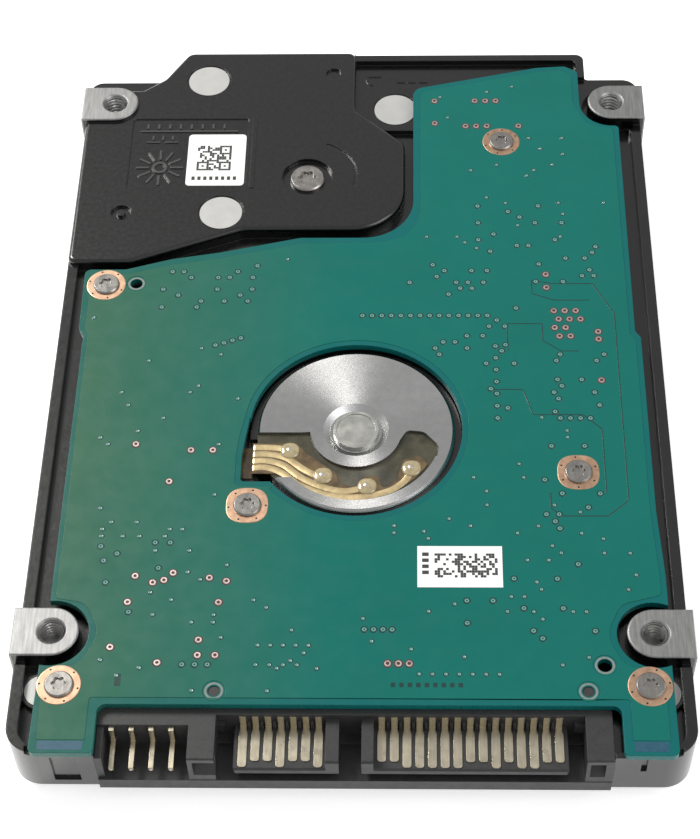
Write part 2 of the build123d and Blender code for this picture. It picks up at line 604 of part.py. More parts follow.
def stator_core():
    """Nine-tooth stack round the bearing's housing."""
    core = tube(SPINDLE, 4.3, 3.0, CORE_LOW, CORE_HIGH)
    for i in range(TEETH):
        angle = 360 / TEETH * i
        core += aim(SPINDLE, angle, block(4.0, 6.8, -0.45, 0.45, CORE_LOW, CORE_HIGH))
        core += lift(fan(SPINDLE, 6.6, 7.3, angle - 15, angle + 15), CORE_LOW, CORE_HIGH)
    return core


def stator_windings():
    """One coil round each tooth."""
    coil = block(4.55, 6.5, -0.85, 0.85, CORE_LOW - 0.4, CORE_HIGH + 0.4)
    coil = fillet(coil.edges().filter_by(Axis.X), 0.35)
    coil -= block(4.0, 7.0, -0.45, 0.45, CORE_LOW, CORE_HIGH)
    return joined([aim(SPINDLE, 360 / TEETH * i, coil) for i in range(TEETH)])


def disk_hub():
    """Cup that turns round the stator, with the flange that the first disk rests on."""
    hub = post(SPINDLE, DISK_BORE_R - 0.05, HUB_LOW, UPPER_DISK_TOP + 0.7)
    hub += post(SPINDLE, 12.4, UPPER_DISK_TOP, UPPER_DISK_TOP + 0.7)
    return hub - post(SPINDLE, 8.6, 3.0, HEIGHT) - post(SPINDLE, SHAFT_R, 1, HEIGHT)


def motor_shaft():
    shaft = chamfer(edges_at(post(SPINDLE, SHAFT_R, HUB_LOW, 7.6), 7.6), 0.15)
    return shaft - post(SPINDLE, 0.9, 1, 4.6)


def rotor_magnet():
    return tube(SPINDLE, 8.6, 7.6, 4.1, UPPER_DISK_TOP + 0.7)


def disk(low):
    return chamfer(edges_at(tube(SPINDLE, DISK_R, DISK_BORE_R, low, low + DISK_T), low), 0.1)


def upper_disk():
    return disk(UPPER_DISK)


def lower_disk():
    return disk(LOWER_DISK)


def disk_spacer():
    return tube(SPINDLE, 12.2, DISK_BORE_R, LOWER_DISK + DISK_T, UPPER_DISK)


def disk_clamp():
    """Spring clamp: its rim presses on the lower disk."""
    clamp = post(SPINDLE, 12.0, HUB_LOW - 0.5, HUB_LOW)
    clamp += tube(SPINDLE, 12.0, 10.6, HUB_LOW, LOWER_DISK)
    for i in range(6):
        clamp -= post(polar(SPINDLE, 6.5, 60 * i), 0.9, 0, HUB_LOW + 1)
    return clamp - post(SPINDLE, 0.95, 0, HUB_LOW + 1)


def clamp_screw():
    return screw(SPINDLE, 2.4, 0.5, 0.9, 3.0, HUB_LOW - 0.5, up=False)


# ---------------------------------------------------------------- actuator
def on_arm(shape):
    """Places a shape drawn along +X from the pivot in the parked arms' direction."""
    return aim(PIVOT, PARK, shape)


def arm_block():
    """Hub with three arms that carry the suspensions, and a flat for the heads' circuit."""
    plan = outline([(2.0, -4.4, 0.3), (20.6, -2.3, 1.0), (22.4, -1.2, 1.0), (22.4, 1.2, 1.0),
                    (20.6, 2.3, 1.0), (2.0, 4.4, 0.3)])
    window = outline([(8.0, -2.1, 0.8), (15.6, -1.2, 0.8), (15.6, 1.2, 0.8), (8.0, 2.1, 0.8)])
    arm_plan = plan - window - Pos(20.0, 0) * Circle(0.9)
    body = post(PIVOT, HUB_R, 1.3, 7.2)
    for low, high in ARM_LEVELS:
        body += on_arm(lift(arm_plan, low, high))
    body += aim(PIVOT, 45, block(0, 5.4, -2.4, 2.4, 2.0, 6.8))
    return body - post(PIVOT, BEARING_R, 0, HEIGHT)


def suspensions():
    """Four thin springs with the lift tabs at their ends."""
    plan = outline([(17.6, -2.2, 0.4), (23.6, -2.1, 0.4), (31.0, -0.75, 0.4), (32.7, -0.6, 0.2),
                    (32.7, 0.6, 0.2), (31.0, 0.75, 0.4), (23.6, 2.1, 0.4), (17.6, 2.2, 0.4)])
    plan += Pos(33.6, 0) * Rectangle(2.0, 0.5)
    plan -= Pos(20.0, 0) * Circle(0.9)
    plan -= Pos(27.0, 0) * Rectangle(3.0, 0.7)
    return joined([on_arm(lift(plan, low, low + SPRING_T)) for low in SPRING_LEVELS])


def sliders():
    """Read and write heads, one facing each disk surface."""
    heads = []
    for i, low in enumerate(SPRING_LEVELS):
        face = low + SPRING_T if i % 2 == 0 else low - SLIDER_T
        heads.append(on_arm(block(ARM - 0.6, ARM + 0.6, -0.5, 0.5, face, face + SLIDER_T)))
    return joined(heads)


def coil_plan(angle_margin, inner, outer):
    return fan(PIVOT, inner, outer, COIL_PARK - angle_margin, COIL_PARK + angle_margin)


def voice_coil():
    """Flat wound coil between the magnets."""
    ring = coil_plan(16.5, 9.2, 18.2) - coil_plan(8.5, 11.4, 16.2)
    return lift(ring, COIL_LOW, COIL_HIGH)


def coil_holder():
    """Plastic moulded round the coil, with the nose that the latch catches."""
    plan = coil_plan(18.5, HUB_R, 19.2) - coil_plan(16.5, 9.2, 18.2)
    plan += fan(PIVOT, 19.1, 20.4, COIL_PARK + 14.5, COIL_PARK + 17.5)
    return lift(plan, COIL_LOW + 0.1, COIL_HIGH - 0.1)


def heads_circuit():
    """Stiffened end of the heads' flexible circuit with its amplifier chip."""
    board = aim(PIVOT, 45, block(5.4, 5.6, -2.3, 2.3, 2.1, 6.7))
    return board + aim(PIVOT, 45, block(5.6, 6.0, -1.3, 1.3, 3.0, 5.6))


def pivot_sleeve():
    return tube(PIVOT, BEARING_R, 3.0, 1.3, 7.2)


def pivot_shaft():
    shaft = chamfer(edges_at(post(PIVOT, 2.0, 0.8, BAY_CEILING), 0.8), 0.2)
    return shaft - post(PIVOT, 1.0, 4.4, HEIGHT)


def pivot_balls():
    """Two rows of bearing balls between the shaft and the sleeve, each in its cage ring."""
    rows = []
    for level in (2.3, 6.2):
        row = tube(PIVOT, 2.62, 2.38, level - 0.55, level + 0.1)
        for i in range(9):
            x, y = polar(PIVOT, 2.5, 40 * i)
            row += Pos(x, y, level) * Sphere(0.44)
        rows.append(row)
    return joined(rows)


def pivot_screw():
    return screw(PIVOT, 2.1, 0.5, 1.0, 3.6, BAY_ROOF - 0.55)


# ---------------------------------------------------------------- voice coil motor
def yoke_plan(hole_r):
    """Plan of a magnet yoke with an ear at each post."""
    plan = fan(PIVOT, 9.6, 20.2, 122, 202)
    for spot in YOKE_SCREWS:
        plan += Pos(*spot) * Circle(1.7)
    for spot in YOKE_SCREWS:
        plan -= Pos(*spot) * Circle(hole_r)
    return plan


def upper_yoke():
    return lift(yoke_plan(0.9), BAY_CEILING - YOKE_T, BAY_CEILING)


def lower_yoke():
    return lift(yoke_plan(0.5), 0.8, 1.7)


def upper_magnet():
    return lift(fan(PIVOT, 10.2, 18.6, *MAGNET_ARC), 5.3, BAY_CEILING - YOKE_T)


def lower_magnet():
    return lift(fan(PIVOT, 10.2, 18.6, *MAGNET_ARC), 1.7, 2.5)


INNER_STOP = polar(PIVOT, 17.0, 124)


def yoke_posts():
    """Posts between the two yokes and the pin of the inner stop."""
    posts = []
    for spot in YOKE_SCREWS:
        leg = post(spot, 1.3, 1.7, BAY_CEILING - YOKE_T) + post(spot, 0.5, 0.8, 1.7)
        posts.append(leg - post(spot, 0.9, BAY_CEILING - YOKE_T - 1.2, HEIGHT))
    posts.append(post(INNER_STOP, 0.5, 1.7, 4.8))
    return joined(posts)


def yoke_screws():
    top = BAY_ROOF - 0.65
    return joined([screw(spot, 1.6, 0.4, 0.9, top - 5.6, top) for spot in YOKE_SCREWS])


def crash_stops():
    """Rubber rings that the coil holder meets at each end of its travel."""
    return joined([tube(YOKE_SCREWS[1], 1.6, 1.3, 3.0, 4.7), tube(INNER_STOP, 0.95, 0.5, 3.0, 4.7)])


def latch_pin():
    return post(LATCH, 0.6, 2.6, BAY_CEILING) + post(LATCH, 1.1, 2.6, 3.1)


def latch_lever():
    """Inertia latch: its hook swings in over the coil holder's nose."""
    plan = Pos(*LATCH) * Circle(1.4)
    plan += outline([(-30.1, 20.6, 0.3), (-28.0, 19.8, 0.3), (-27.35, 23.7, 0.4), (-27.1, 25.0, 0.2),
                     (-27.9, 25.3, 0.3), (-28.6, 24.5, 0.3)])
    plan += outline([(-29.9, 19.6, 0.3), (-30.3, 18.0, 0.4), (-28.2, 17.2, 0.4), (-27.9, 19.4, 0.3)])
    return lift(plan - Pos(*LATCH) * Circle(0.65), 3.2, 4.4)


# ---------------------------------------------------------------- ramp, flex and filters
RAMP_SCREW = polar(PIVOT, 36.3, -14.0)
RAMP_EAR = 4.9                    # undersides that the small inner screws bear on
BRACKET_LOW = 4.7


def parking_ramp():
    """Plastic block whose fins reach over the disks' edge and carry the lift tabs."""
    body = lift(fan(PIVOT, 35.0, 37.6, -31, -17), 1.2, CEILING)
    body += lift(fan(PIVOT, 35.0, 37.6, -17.2, -11.6), RAMP_EAR, CEILING)
    for low, high, disk_low in ((2.1, 3.3, LOWER_DISK), (4.5, 5.7, UPPER_DISK)):
        fin = lift(fan(PIVOT, 33.2, 35.1, -31, -18), low, high)
        fin -= post(SPINDLE, DISK_R + 0.4, disk_low - 0.08, disk_low + DISK_T + 0.08)
        body += fin
    body -= post(SPINDLE, DISK_R + 0.4, LOWER_DISK - 0.08, LOWER_DISK + DISK_T + 0.08)
    body -= post(SPINDLE, DISK_R + 0.4, UPPER_DISK - 0.08, UPPER_DISK_TOP + 0.08)
    return body - post(RAMP_SCREW, 0.65, 4, CEILING + 1)


def head_plug():
    """Connector block through the casting, from the heads' bracket to the board."""
    x, y, w, d = HEAD_PLUG
    block_body = block(x - w / 2, x + w / 2, y - d / 2, y + d / 2, 5.4, BOARD_UNDER)
    return block_body + block(x - w / 2 - 1, x + w / 2 + 1, y - d / 2 - 1, y + d / 2 + 1, 5.4, CEILING)


def heads_bracket():
    """Plate that holds the head connector and the end of the flexible circuit."""
    plan = outline([(5.6, 41.4, 0.6), (9.0, 41.4, 0.6), (9.0, 36.7, 0.6), (23.6, 36.7, 0.8),
                    (23.6, 44.8, 0.8), (5.6, 44.8, 0.8)])
    plate = lift(plan, BRACKET_LOW, 5.4)
    for spot in BRACKET_SCREWS:
        plate += post(spot, 1.2, 5.4, CEILING)
    for spot in BRACKET_SCREWS:
        plate -= post(spot, 0.65, 4, HEIGHT)
    return plate + block(9.0, 9.8, 41.5, 44.5, 2.4, BRACKET_LOW)


def inner_screws():
    """Small screws of the heads' bracket and the ramp."""
    seats = [(spot, BRACKET_LOW) for spot in BRACKET_SCREWS] + [(RAMP_SCREW, RAMP_EAR)]
    return joined([screw(spot, 1.1, 0.45, 0.6, CEILING + 0.6 - low, low, up=False) for spot, low in seats])


def actuator_flex():
    """Flexible circuit that loops from the bracket to the arms."""
    loop = (2.6, 36.8)
    ribbon = lift(fan(loop, 5.12, 5.28, 90, 190), 2.6, 4.6)
    return ribbon + block(2.6, 9.0, loop[1] + 5.12, loop[1] + 5.28, 2.6, 4.6)


def air_filter():
    """Pad that catches particles in the air driven round by the disks."""
    return fillet(block(28.8, 31.8, 22.2, 27.4, 2.3, 6.2).edges().filter_by(Axis.Z), 0.4)


def breather_filter():
    """Adsorbent pouch on the chamber's ceiling."""
    return fillet(block(24.8, 31.4, 28.8, 33.6, 3.0, CEILING).edges().filter_by(Axis.Z), 1.0)


# ---------------------------------------------------------------- seals and stickers
def service_seals():
    """Foil discs over the yoke screws and the clock-head hole, and small ones in the front corners."""
    discs = [post(spot, 2.55, BAY_ROOF - FOIL_SINK, BAY_ROOF - FOIL_SINK + FOIL_T) for spot in YOKE_SCREWS]
    discs.append(post(SHELF_HOLE, 2.6, SHELF - FOIL_SINK, SHELF - FOIL_SINK + FOIL_T))
    for spot, screw_spot in zip(CORNER_SEALS, BOARD_SCREWS[4:]):
        disc = post(spot, 1.75, CORNER_SEAT, CORNER_SEAT + FOIL_T)
        discs.append(disc - post(screw_spot, POST_R, CORNER_SEAT - 1, CORNER_SEAT + 1))
    return joined(discs)


def code_stickers():
    """Square-code sticker in the roof's sunk panel and a small one on the circuit board."""
    low = BAY_ROOF - PANEL_SINK
    plan = outline([(-21.3, 26.9, 0.5), (-14.2, 26.9, 0.5), (-14.2, 35.5, 0.5), (-21.3, 35.5, 0.5)])
    board_sticker = block(6.7, 15.6, -30.5, -25.4, BOARD_TOP, BOARD_TOP + FOIL_T)
    return joined([lift(plan, low, low + FOIL_T), board_sticker])


# ---------------------------------------------------------------- all sub-parts
MAKERS = [
    base_casting, cover, cover_gasket, cover_screws, product_label,
    circuit_board, board_screws, board_insulator, controller_chip, memory_chips, motor_driver_chip,
    board_small_parts, sata_housing, signal_contacts, power_contacts, jumper_pins,
    motor_flange, motor_cable, motor_lead_joints, motor_end_plate, bearing_sleeve, stator_core,
    stator_windings, disk_hub, motor_shaft, rotor_magnet, upper_disk, lower_disk, disk_spacer,
    disk_clamp, clamp_screw,
    arm_block, suspensions, sliders, voice_coil, coil_holder, heads_circuit, pivot_sleeve,
    pivot_shaft, pivot_balls, pivot_screw,
    upper_yoke, lower_yoke, upper_magnet, lower_magnet, yoke_posts, yoke_screws, crash_stops,
    latch_pin, latch_lever,
    parking_ramp, head_plug, heads_bracket, inner_screws, actuator_flex,
    air_filter, breather_filter,
    service_seals, code_stickers,
]

os.makedirs("parts", exist_ok=True)
for maker in MAKERS:
    export_step(maker(), f"parts/{maker.__name__}.step")
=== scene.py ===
import json
import random
from math import cos, hypot, pi, radians, sin

import bpy
from mathutils import Euler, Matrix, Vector


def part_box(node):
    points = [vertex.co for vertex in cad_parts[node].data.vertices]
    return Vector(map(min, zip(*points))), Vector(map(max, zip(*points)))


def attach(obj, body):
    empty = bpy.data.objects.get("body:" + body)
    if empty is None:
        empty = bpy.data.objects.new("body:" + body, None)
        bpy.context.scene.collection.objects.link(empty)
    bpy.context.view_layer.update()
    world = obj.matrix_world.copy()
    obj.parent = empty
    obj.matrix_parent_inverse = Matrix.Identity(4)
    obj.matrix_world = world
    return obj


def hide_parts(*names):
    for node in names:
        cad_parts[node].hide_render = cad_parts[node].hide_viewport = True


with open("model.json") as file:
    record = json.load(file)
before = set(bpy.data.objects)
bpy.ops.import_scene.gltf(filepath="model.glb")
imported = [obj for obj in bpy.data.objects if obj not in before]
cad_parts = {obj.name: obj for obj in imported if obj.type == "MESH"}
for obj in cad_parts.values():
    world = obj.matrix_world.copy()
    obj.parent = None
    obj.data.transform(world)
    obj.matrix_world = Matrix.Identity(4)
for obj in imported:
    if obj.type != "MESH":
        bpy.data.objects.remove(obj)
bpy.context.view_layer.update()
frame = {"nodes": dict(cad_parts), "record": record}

MM = 0.001
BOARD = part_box("circuit_board")[1].z / MM              # levels in millimetres
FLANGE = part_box("motor_flange")[1].z / MM
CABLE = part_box("motor_cable")[1].z / MM
ROOF = 9.0
SPINDLE = (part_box("motor_flange")[0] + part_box("motor_flange")[1]) / 2 / MM
TAPS = next(mount for mount in frame["record"]["mounts"] if mount["name"] == "bottom_mounting_holes")
MOUNT_X = TAPS["dims"]["spacing_x_mm"] / 2
MOUNT_YS = [TAPS["pos_m"][1] / MM + half * TAPS["dims"]["spacing_y_mm"] for half in (-0.5, 0.5)]
TAP_R = TAPS["dims"]["hole_r_mm"]
SINK = 0.002                                           # a thin piece starts this far inside what it lies on


# ---------------------------------------------------------------- materials
class Look:
    """A Principled material with procedural colour, roughness and bump built from its nodes."""

    def __init__(self, name, color, metallic=0.0, roughness=0.5, **sockets):
        self.mat = bpy.data.materials.new(name)
        self.mat.use_nodes = True
        self.tree = self.mat.node_tree
        self.shader = self.tree.nodes["Principled BSDF"]
        self.shader.inputs["Base Color"].default_value = (*color, 1)
        self.shader.inputs["Metallic"].default_value = metallic
        self.shader.inputs["Roughness"].default_value = roughness
        for key, value in sockets.items():
            self.shader.inputs[key.replace("_", " ")].default_value = value
        self.place = self.add("ShaderNodeTexCoord").outputs["Object"]
        self.height = None

    def add(self, kind, **settings):
        node = self.tree.nodes.new(kind)
        for key, value in settings.items():
            setattr(node, key, value)
        return node

    def link(self, source, target):
        if hasattr(source, "is_output"):
            self.tree.links.new(source, target)
        else:
            target.default_value = source

    def math(self, operation, *values):
        node = self.add("ShaderNodeMath", operation=operation)
        for value, socket in zip(values, node.inputs):
            self.link(value, socket)
        return node.outputs[0]

    def axis(self, index):
        if not hasattr(self, "split"):
            self.split = self.add("ShaderNodeSeparateXYZ")
            self.link(self.place, self.split.inputs[0])
        return self.split.outputs[index]

    def above(self, index, millimetres, soft=0.02):
        """0 below a level on one axis and 1 above it."""
        away = self.math("SUBTRACT", self.axis(index), millimetres * MM)
        step = self.add("ShaderNodeMath", operation="DIVIDE", use_clamp=True)
        self.link(away, step.inputs[0])
        step.inputs[1].default_value = soft * MM
        return step.outputs[0]

    def radius(self, x, y):
        """Distance from a vertical axis, in metres."""
        dx = self.math("SUBTRACT", self.axis(0), x * MM)
        dy = self.math("SUBTRACT", self.axis(1), y * MM)
        squares = [self.math("MULTIPLY", d, d) for d in (dx, dy)]
        return self.math("SQRT", self.math("ADD", *squares))

    def noise(self, size, detail=3.0, stretch=None):
        """Noise whose features are about size millimetres across."""
        place = self.place
        if stretch:
            mapping = self.add("ShaderNodeMapping")
            mapping.inputs["Scale"].default_value = stretch
            self.link(place, mapping.inputs["Vector"])
            place = mapping.outputs[0]
        node = self.add("ShaderNodeTexNoise")
        self.link(place, node.inputs["Vector"])
        node.inputs["Scale"].default_value = 1 / (size * MM)
        node.inputs["Detail"].default_value = detail
        return node.outputs["Fac"]

    def between(self, fac, low, high, span=(0.3, 0.7)):
        """Number that runs from low to high as fac crosses its span."""
        node = self.add("ShaderNodeMapRange")
        self.link(fac, node.inputs["Value"])
        for key, value in zip(("From Min", "From Max", "To Min", "To Max"), (*span, low, high)):
            node.inputs[key].default_value = value
        return node.outputs[0]

    def blend(self, fac, first, second):
        node = self.add("ShaderNodeMix", data_type="RGBA")
        self.link(fac, node.inputs["Factor"])
        for value, socket in ((first, node.inputs[6]), (second, node.inputs[7])):
            self.link(value if hasattr(value, "is_output") else (*value, 1), socket)
        return node.outputs[2]

    def color(self, source):
        self.link(source, self.shader.inputs["Base Color"])
        return self

    def rough(self, source):
        self.link(source, self.shader.inputs["Roughness"])
        return self

    def metal(self, source):
        self.link(source, self.shader.inputs["Metallic"])
        return self

    def bump(self, height, depth, strength=1.0):
        """Bump whose full height is depth millimetres, laid over any bump already there."""
        node = self.add("ShaderNodeBump")
        node.inputs["Distance"].default_value = depth * MM
        node.inputs["Strength"].default_value = strength
        self.link(height, node.inputs["Height"])
        if self.height:
            self.link(self.height, node.inputs["Normal"])
        self.height = node.outputs[0]
        self.link(self.height, self.shader.inputs["Normal"])
        return self

    def soft_edges(self, radius):
        """Edges catch the light as if they were rounded by radius millimetres."""
        node = self.add("ShaderNodeBevel", samples=4)
        node.inputs["Radius"].default_value = radius * MM
        self.height = node.outputs[0]
        self.link(self.height, self.shader.inputs["Normal"])
        return self


def casting_look():
    """Glossy black coat, bare where the pads and their ends are machined, lighter grey on the raised marks in
    the panel, with a painted highlight on the flat top of the rib beside the sticker.
    """
    look = Look("black_casting", (0.005, 0.005, 0.005), 0.0, 0.2, Coat_Weight=0.5, Coat_Roughness=0.1)
    look.soft_edges(0.2)
    pads = look.above(2, 9.3)
    left = look.math("SUBTRACT", 1.0, look.above(0, -34.75))
    bare = look.math("MAXIMUM", pads, look.math("MAXIMUM", left, look.above(0, 34.72)))
    for x in (-MOUNT_X, MOUNT_X):
        for y in MOUNT_YS:
            near = look.math("LESS_THAN", look.radius(x, y), (TAP_R + 0.08) * MM)
            bare = look.math("MAXIMUM", bare, near)
    under_roof = look.math("SUBTRACT", 1.0, look.above(2, 8.978, 0.01))
    marks = look.math("MULTIPLY", look.above(2, 8.93), under_roof)
    in_panel = look.math("MULTIPLY", look.above(1, 26.0), look.math("SUBTRACT", 1.0, look.above(0, -13.0)))
    panel_marks = look.math("MULTIPLY", marks, in_panel)
    speck = look.noise(0.5, 5)
    coat = look.blend(look.between(speck, 0, 1), (0.001, 0.001, 0.001), (0.004, 0.004, 0.004))
    # The raised marks in the panel are a lighter grey than the coat.
    coat = look.blend(panel_marks, coat, (0.05, 0.05, 0.05))
    # Painted highlight: the flat top of the rib beside the sticker, between x -14 and -13 mm, is made light
    # grey.
    coat = look.blend(look.math("MULTIPLY", panel_marks, look.above(0, -14.0)), coat, (0.16, 0.16, 0.16))
    streak = look.noise(0.25, 4, (1, 0.08, 1))
    metal = look.blend(look.between(streak, 0, 1), (0.24, 0.24, 0.24), (0.35, 0.35, 0.345))
    look.color(look.blend(bare, coat, metal)).metal(bare)
    satin = look.between(look.noise(0.5, 4), 0.2, 0.27)
    look.rough(look.math("ADD", satin, look.math("MULTIPLY", bare, 0.22)))
    return look.bump(look.noise(0.3, 2), 0.006).mat


def mask_look(name, low, high, roughness=0.26):
    """Solder mask over copper, with faint weave and mottling, and painted light: a more olive tint towards
    the left edge.
    """
    look = Look(name, high, 0.0, roughness, Specular_IOR_Level=0.3)
    look.soft_edges(0.12)
    # Painted light: the colour shifts to the olive tint from x -2 mm out to the left edge.
    side = look.between(look.axis(0), 1.0, 0.0, (-0.034, -0.002))
    base = look.blend(side, high, low)
    cloud = look.between(look.noise(9.0, 3), 0.0, 1.0)
    base = look.blend(look.math("MULTIPLY", cloud, 0.25), base, [c * 0.72 for c in high])
    look.color(base).rough(look.between(look.noise(2.2, 4), roughness - 0.05, roughness + 0.06))
    weave = look.math("MULTIPLY", look.math("SINE", look.math("MULTIPLY", look.axis(0), 14000.0)),
                      look.math("SINE", look.math("MULTIPLY", look.axis(1), 14000.0)))
    return look.bump(weave, 0.001, 0.4).bump(look.noise(1.3, 3), 0.003, 0.6).mat


def metal_look(name, color, roughness=0.3, grain=(1, 1, 1), size=0.4, spread=0.25, bump=0.004, edges=0.0):
    """Bare or plated metal with a directional grain."""
    look = Look(name, color, 1.0, roughness)
    if edges:
        look.soft_edges(edges)
    grain_map = look.noise(size, 5, grain)
    dark = [c * (1 - spread) for c in color]
    look.color(look.blend(look.between(grain_map, 0, 1), dark, color))
    look.rough(look.between(look.noise(size * 3, 4), roughness * 0.8, roughness * 1.3))
    return look.bump(grain_map, bump).mat


def plain_look(name, color, roughness=0.5, size=0.3, bump=0.006, spread=0.2, edges=0.0, **sockets):
    """Moulded, printed or painted surface with a fine grain."""
    look = Look(name, color, 0.0, roughness, **sockets)
    if edges:
        look.soft_edges(edges)
    grain_map = look.noise(size, 4)
    look.color(look.blend(look.between(grain_map, 0, 1), [c * (1 - spread) for c in color], color))
    look.rough(look.between(look.noise(size * 4, 3), roughness - 0.06, roughness + 0.08))
    return look.bump(grain_map, bump).mat


def flange_look():
    """Face-turned steel with fine rings, and dark clear varnish on the floor of its cable pocket."""
    look = Look("turned_steel", (0.62, 0.62, 0.61), 1.0, 0.3, Anisotropic=0.85)
    tangent = look.add("ShaderNodeTangent", direction_type="RADIAL", axis="Z")
    look.link(tangent.outputs[0], look.shader.inputs["Tangent"])
    away = look.radius(SPINDLE.x, SPINDLE.y)
    rings = look.math("SINE", look.math("MULTIPLY", away, 52000.0))
    low = look.math("SUBTRACT", 1.0, look.above(2, FLANGE - 0.25))
    within = look.math("LESS_THAN", away, 9.65 * MM)
    beyond = look.math("GREATER_THAN", away, 4.6 * MM)
    inside = look.math("MULTIPLY", within, beyond)
    left = look.math("SUBTRACT", 1.0, look.above(0, -5.0))
    run_out = look.math("MULTIPLY", left, look.above(1, -17.0))
    pocket = look.math("MULTIPLY", low, look.math("MAXIMUM", inside, run_out))
    varnish = look.blend(look.between(look.noise(2.0, 4), 0, 1), (0.028, 0.027, 0.017), (0.085, 0.08, 0.05))
    steel = look.blend(look.between(look.noise(0.9, 5), 0, 1), (0.46, 0.46, 0.46), (0.51, 0.51, 0.505))
    look.color(look.blend(pocket, steel, varnish)).metal(look.math("SUBTRACT", 1.0, pocket))
    look.rough(look.between(look.noise(0.12, 5), 0.24, 0.31))
    return look.bump(rings, 0.0012, 0.6).mat


def cable_look():
    """Amber film with a varnish gloss; it is darker between the conductors."""
    look = Look("flex_film", (0.3, 0.17, 0.05), 0.0, 0.2, Coat_Weight=0.8, Coat_Roughness=0.08)
    cloud = look.noise(1.1, 4)
    look.color(look.blend(look.between(cloud, 0, 1), (0.06, 0.038, 0.016), (0.16, 0.1, 0.04)))
    return look.bump(cloud, 0.03).mat


def foil_look():
    """Matte foil, pressed slightly into the hole that it covers."""
    look = Look("seal_foil", (0.5, 0.5, 0.48), 0.35, 0.42)
    cloud = look.noise(1.8, 3)
    look.color(look.blend(look.between(cloud, 0, 1), (0.45, 0.45, 0.44), (0.49, 0.49, 0.475)))
    return look.bump(cloud, 0.025).bump(look.noise(0.2, 3), 0.006).mat


def label_look():
    look = Look("label_paper", (0.84, 0.84, 0.82), 0.0, 0.42, Coat_Weight=0.15)
    fibre = look.noise(0.35, 5)
    look.color(look.blend(look.between(fibre, 0, 1), (0.79, 0.79, 0.775), (0.86, 0.86, 0.845)))
    return look.bump(fibre, 0.004).mat


STEEL = (0.36, 0.345, 0.325)
# The first colour of each mask is the painted light at the left edge.
MASK = mask_look("solder_mask", (0.016, 0.11, 0.082), (0.0, 0.115, 0.112))
PLANE = mask_look("mask_over_copper", (0.04, 0.12, 0.068), (0.001, 0.13, 0.108))
CASTING = casting_look()
GOLD = metal_look("contact_gold", (0.62, 0.56, 0.43), 0.3, (1, 0.1, 1), 0.3, 0.2, edges=0.05)
CABLE_FILM = cable_look()
LOOKS = {
    "black_casting": CASTING,
    "cover_steel": metal_look("cover_steel", (0.6, 0.6, 0.6), 0.36, (1, 0.06, 1), 0.5, 0.12),
    "gasket_rubber": plain_look("gasket_rubber", (0.02, 0.02, 0.02), 0.65),
    "screw_steel": metal_look("screw_steel", STEEL, 0.3, (1, 0.3, 1), 0.3, 0.2, edges=0.06),
    "label_paper": label_look(),
    "solder_mask": MASK,
    "insulator_film": plain_look("insulator_film", (0.02, 0.02, 0.02), 0.5),
    "chip_epoxy": plain_look("chip_epoxy", (0.03, 0.03, 0.032), 0.55),
    "connector_plastic": plain_look("connector_plastic", (0.03, 0.03, 0.031), 0.42, 0.25, 0.008, 0.3, 0.08),
    "contact_gold": GOLD,
    "turned_steel": flange_look(),
    "flex_film": CABLE_FILM,
    "lead_resin": plain_look("lead_resin", (0.5, 0.42, 0.26), 0.15, 0.5, 0.01, 0.3, Coat_Weight=0.8),
    "bearing_steel": metal_look("bearing_steel", (0.5, 0.5, 0.47), 0.32, size=0.5, spread=0.15, edges=0.05),
    "core_steel": metal_look("core_steel", (0.28, 0.28, 0.29), 0.45),
    "copper_wire": metal_look("copper_wire", (0.72, 0.34, 0.15), 0.3, (1, 1, 6)),
    "hub_aluminium": metal_look("hub_aluminium", (0.74, 0.74, 0.75), 0.25),
    "magnet": metal_look("magnet", (0.36, 0.36, 0.37), 0.3),
    "disk_mirror": metal_look("disk_mirror", (0.82, 0.82, 0.84), 0.05, size=8, spread=0.03, bump=0.0002),
    "spring_steel": metal_look("spring_steel", (0.64, 0.64, 0.65), 0.28),
    "yoke_nickel": metal_look("yoke_nickel", (0.58, 0.58, 0.56), 0.35),
    "head_ceramic": plain_look("head_ceramic", (0.1, 0.1, 0.11), 0.4),
    "coil_plastic": plain_look("coil_plastic", (0.05, 0.05, 0.06), 0.5),
    "ramp_plastic": plain_look("ramp_plastic", (0.74, 0.72, 0.63), 0.45),
    "bracket_steel": metal_look("bracket_steel", (0.56, 0.56, 0.56), 0.35),
    "filter_fabric": plain_look("filter_fabric", (0.8, 0.8, 0.77), 0.85, 0.15, 0.04),
    "seal_foil": foil_look(),
}
for part in frame["record"]["subparts"]:
    node = frame["nodes"][part["node"]]
    node.data.materials.clear()
    node.data.materials.append(LOOKS[part["material_slot"]])


# ---------------------------------------------------------------- mesh helpers
def piece(name, verts, faces, mats, picks=None, smooth=False):
    """Mesh from points in millimetres; picks holds one material index per face."""
    mesh = bpy.data.meshes.new(name)
    mesh.from_pydata([tuple(c * MM for c in v) for v in verts], [], faces)
    for mat in mats:
        mesh.materials.append(mat)
    if picks:
        mesh.polygons.foreach_set("material_index", picks)
    mesh.polygons.foreach_set("use_smooth", [smooth] * len(faces))
    mesh.update()
    shown = bpy.data.objects.new(name, mesh)
    bpy.context.collection.objects.link(shown)
    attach(shown, "drive")
    return shown


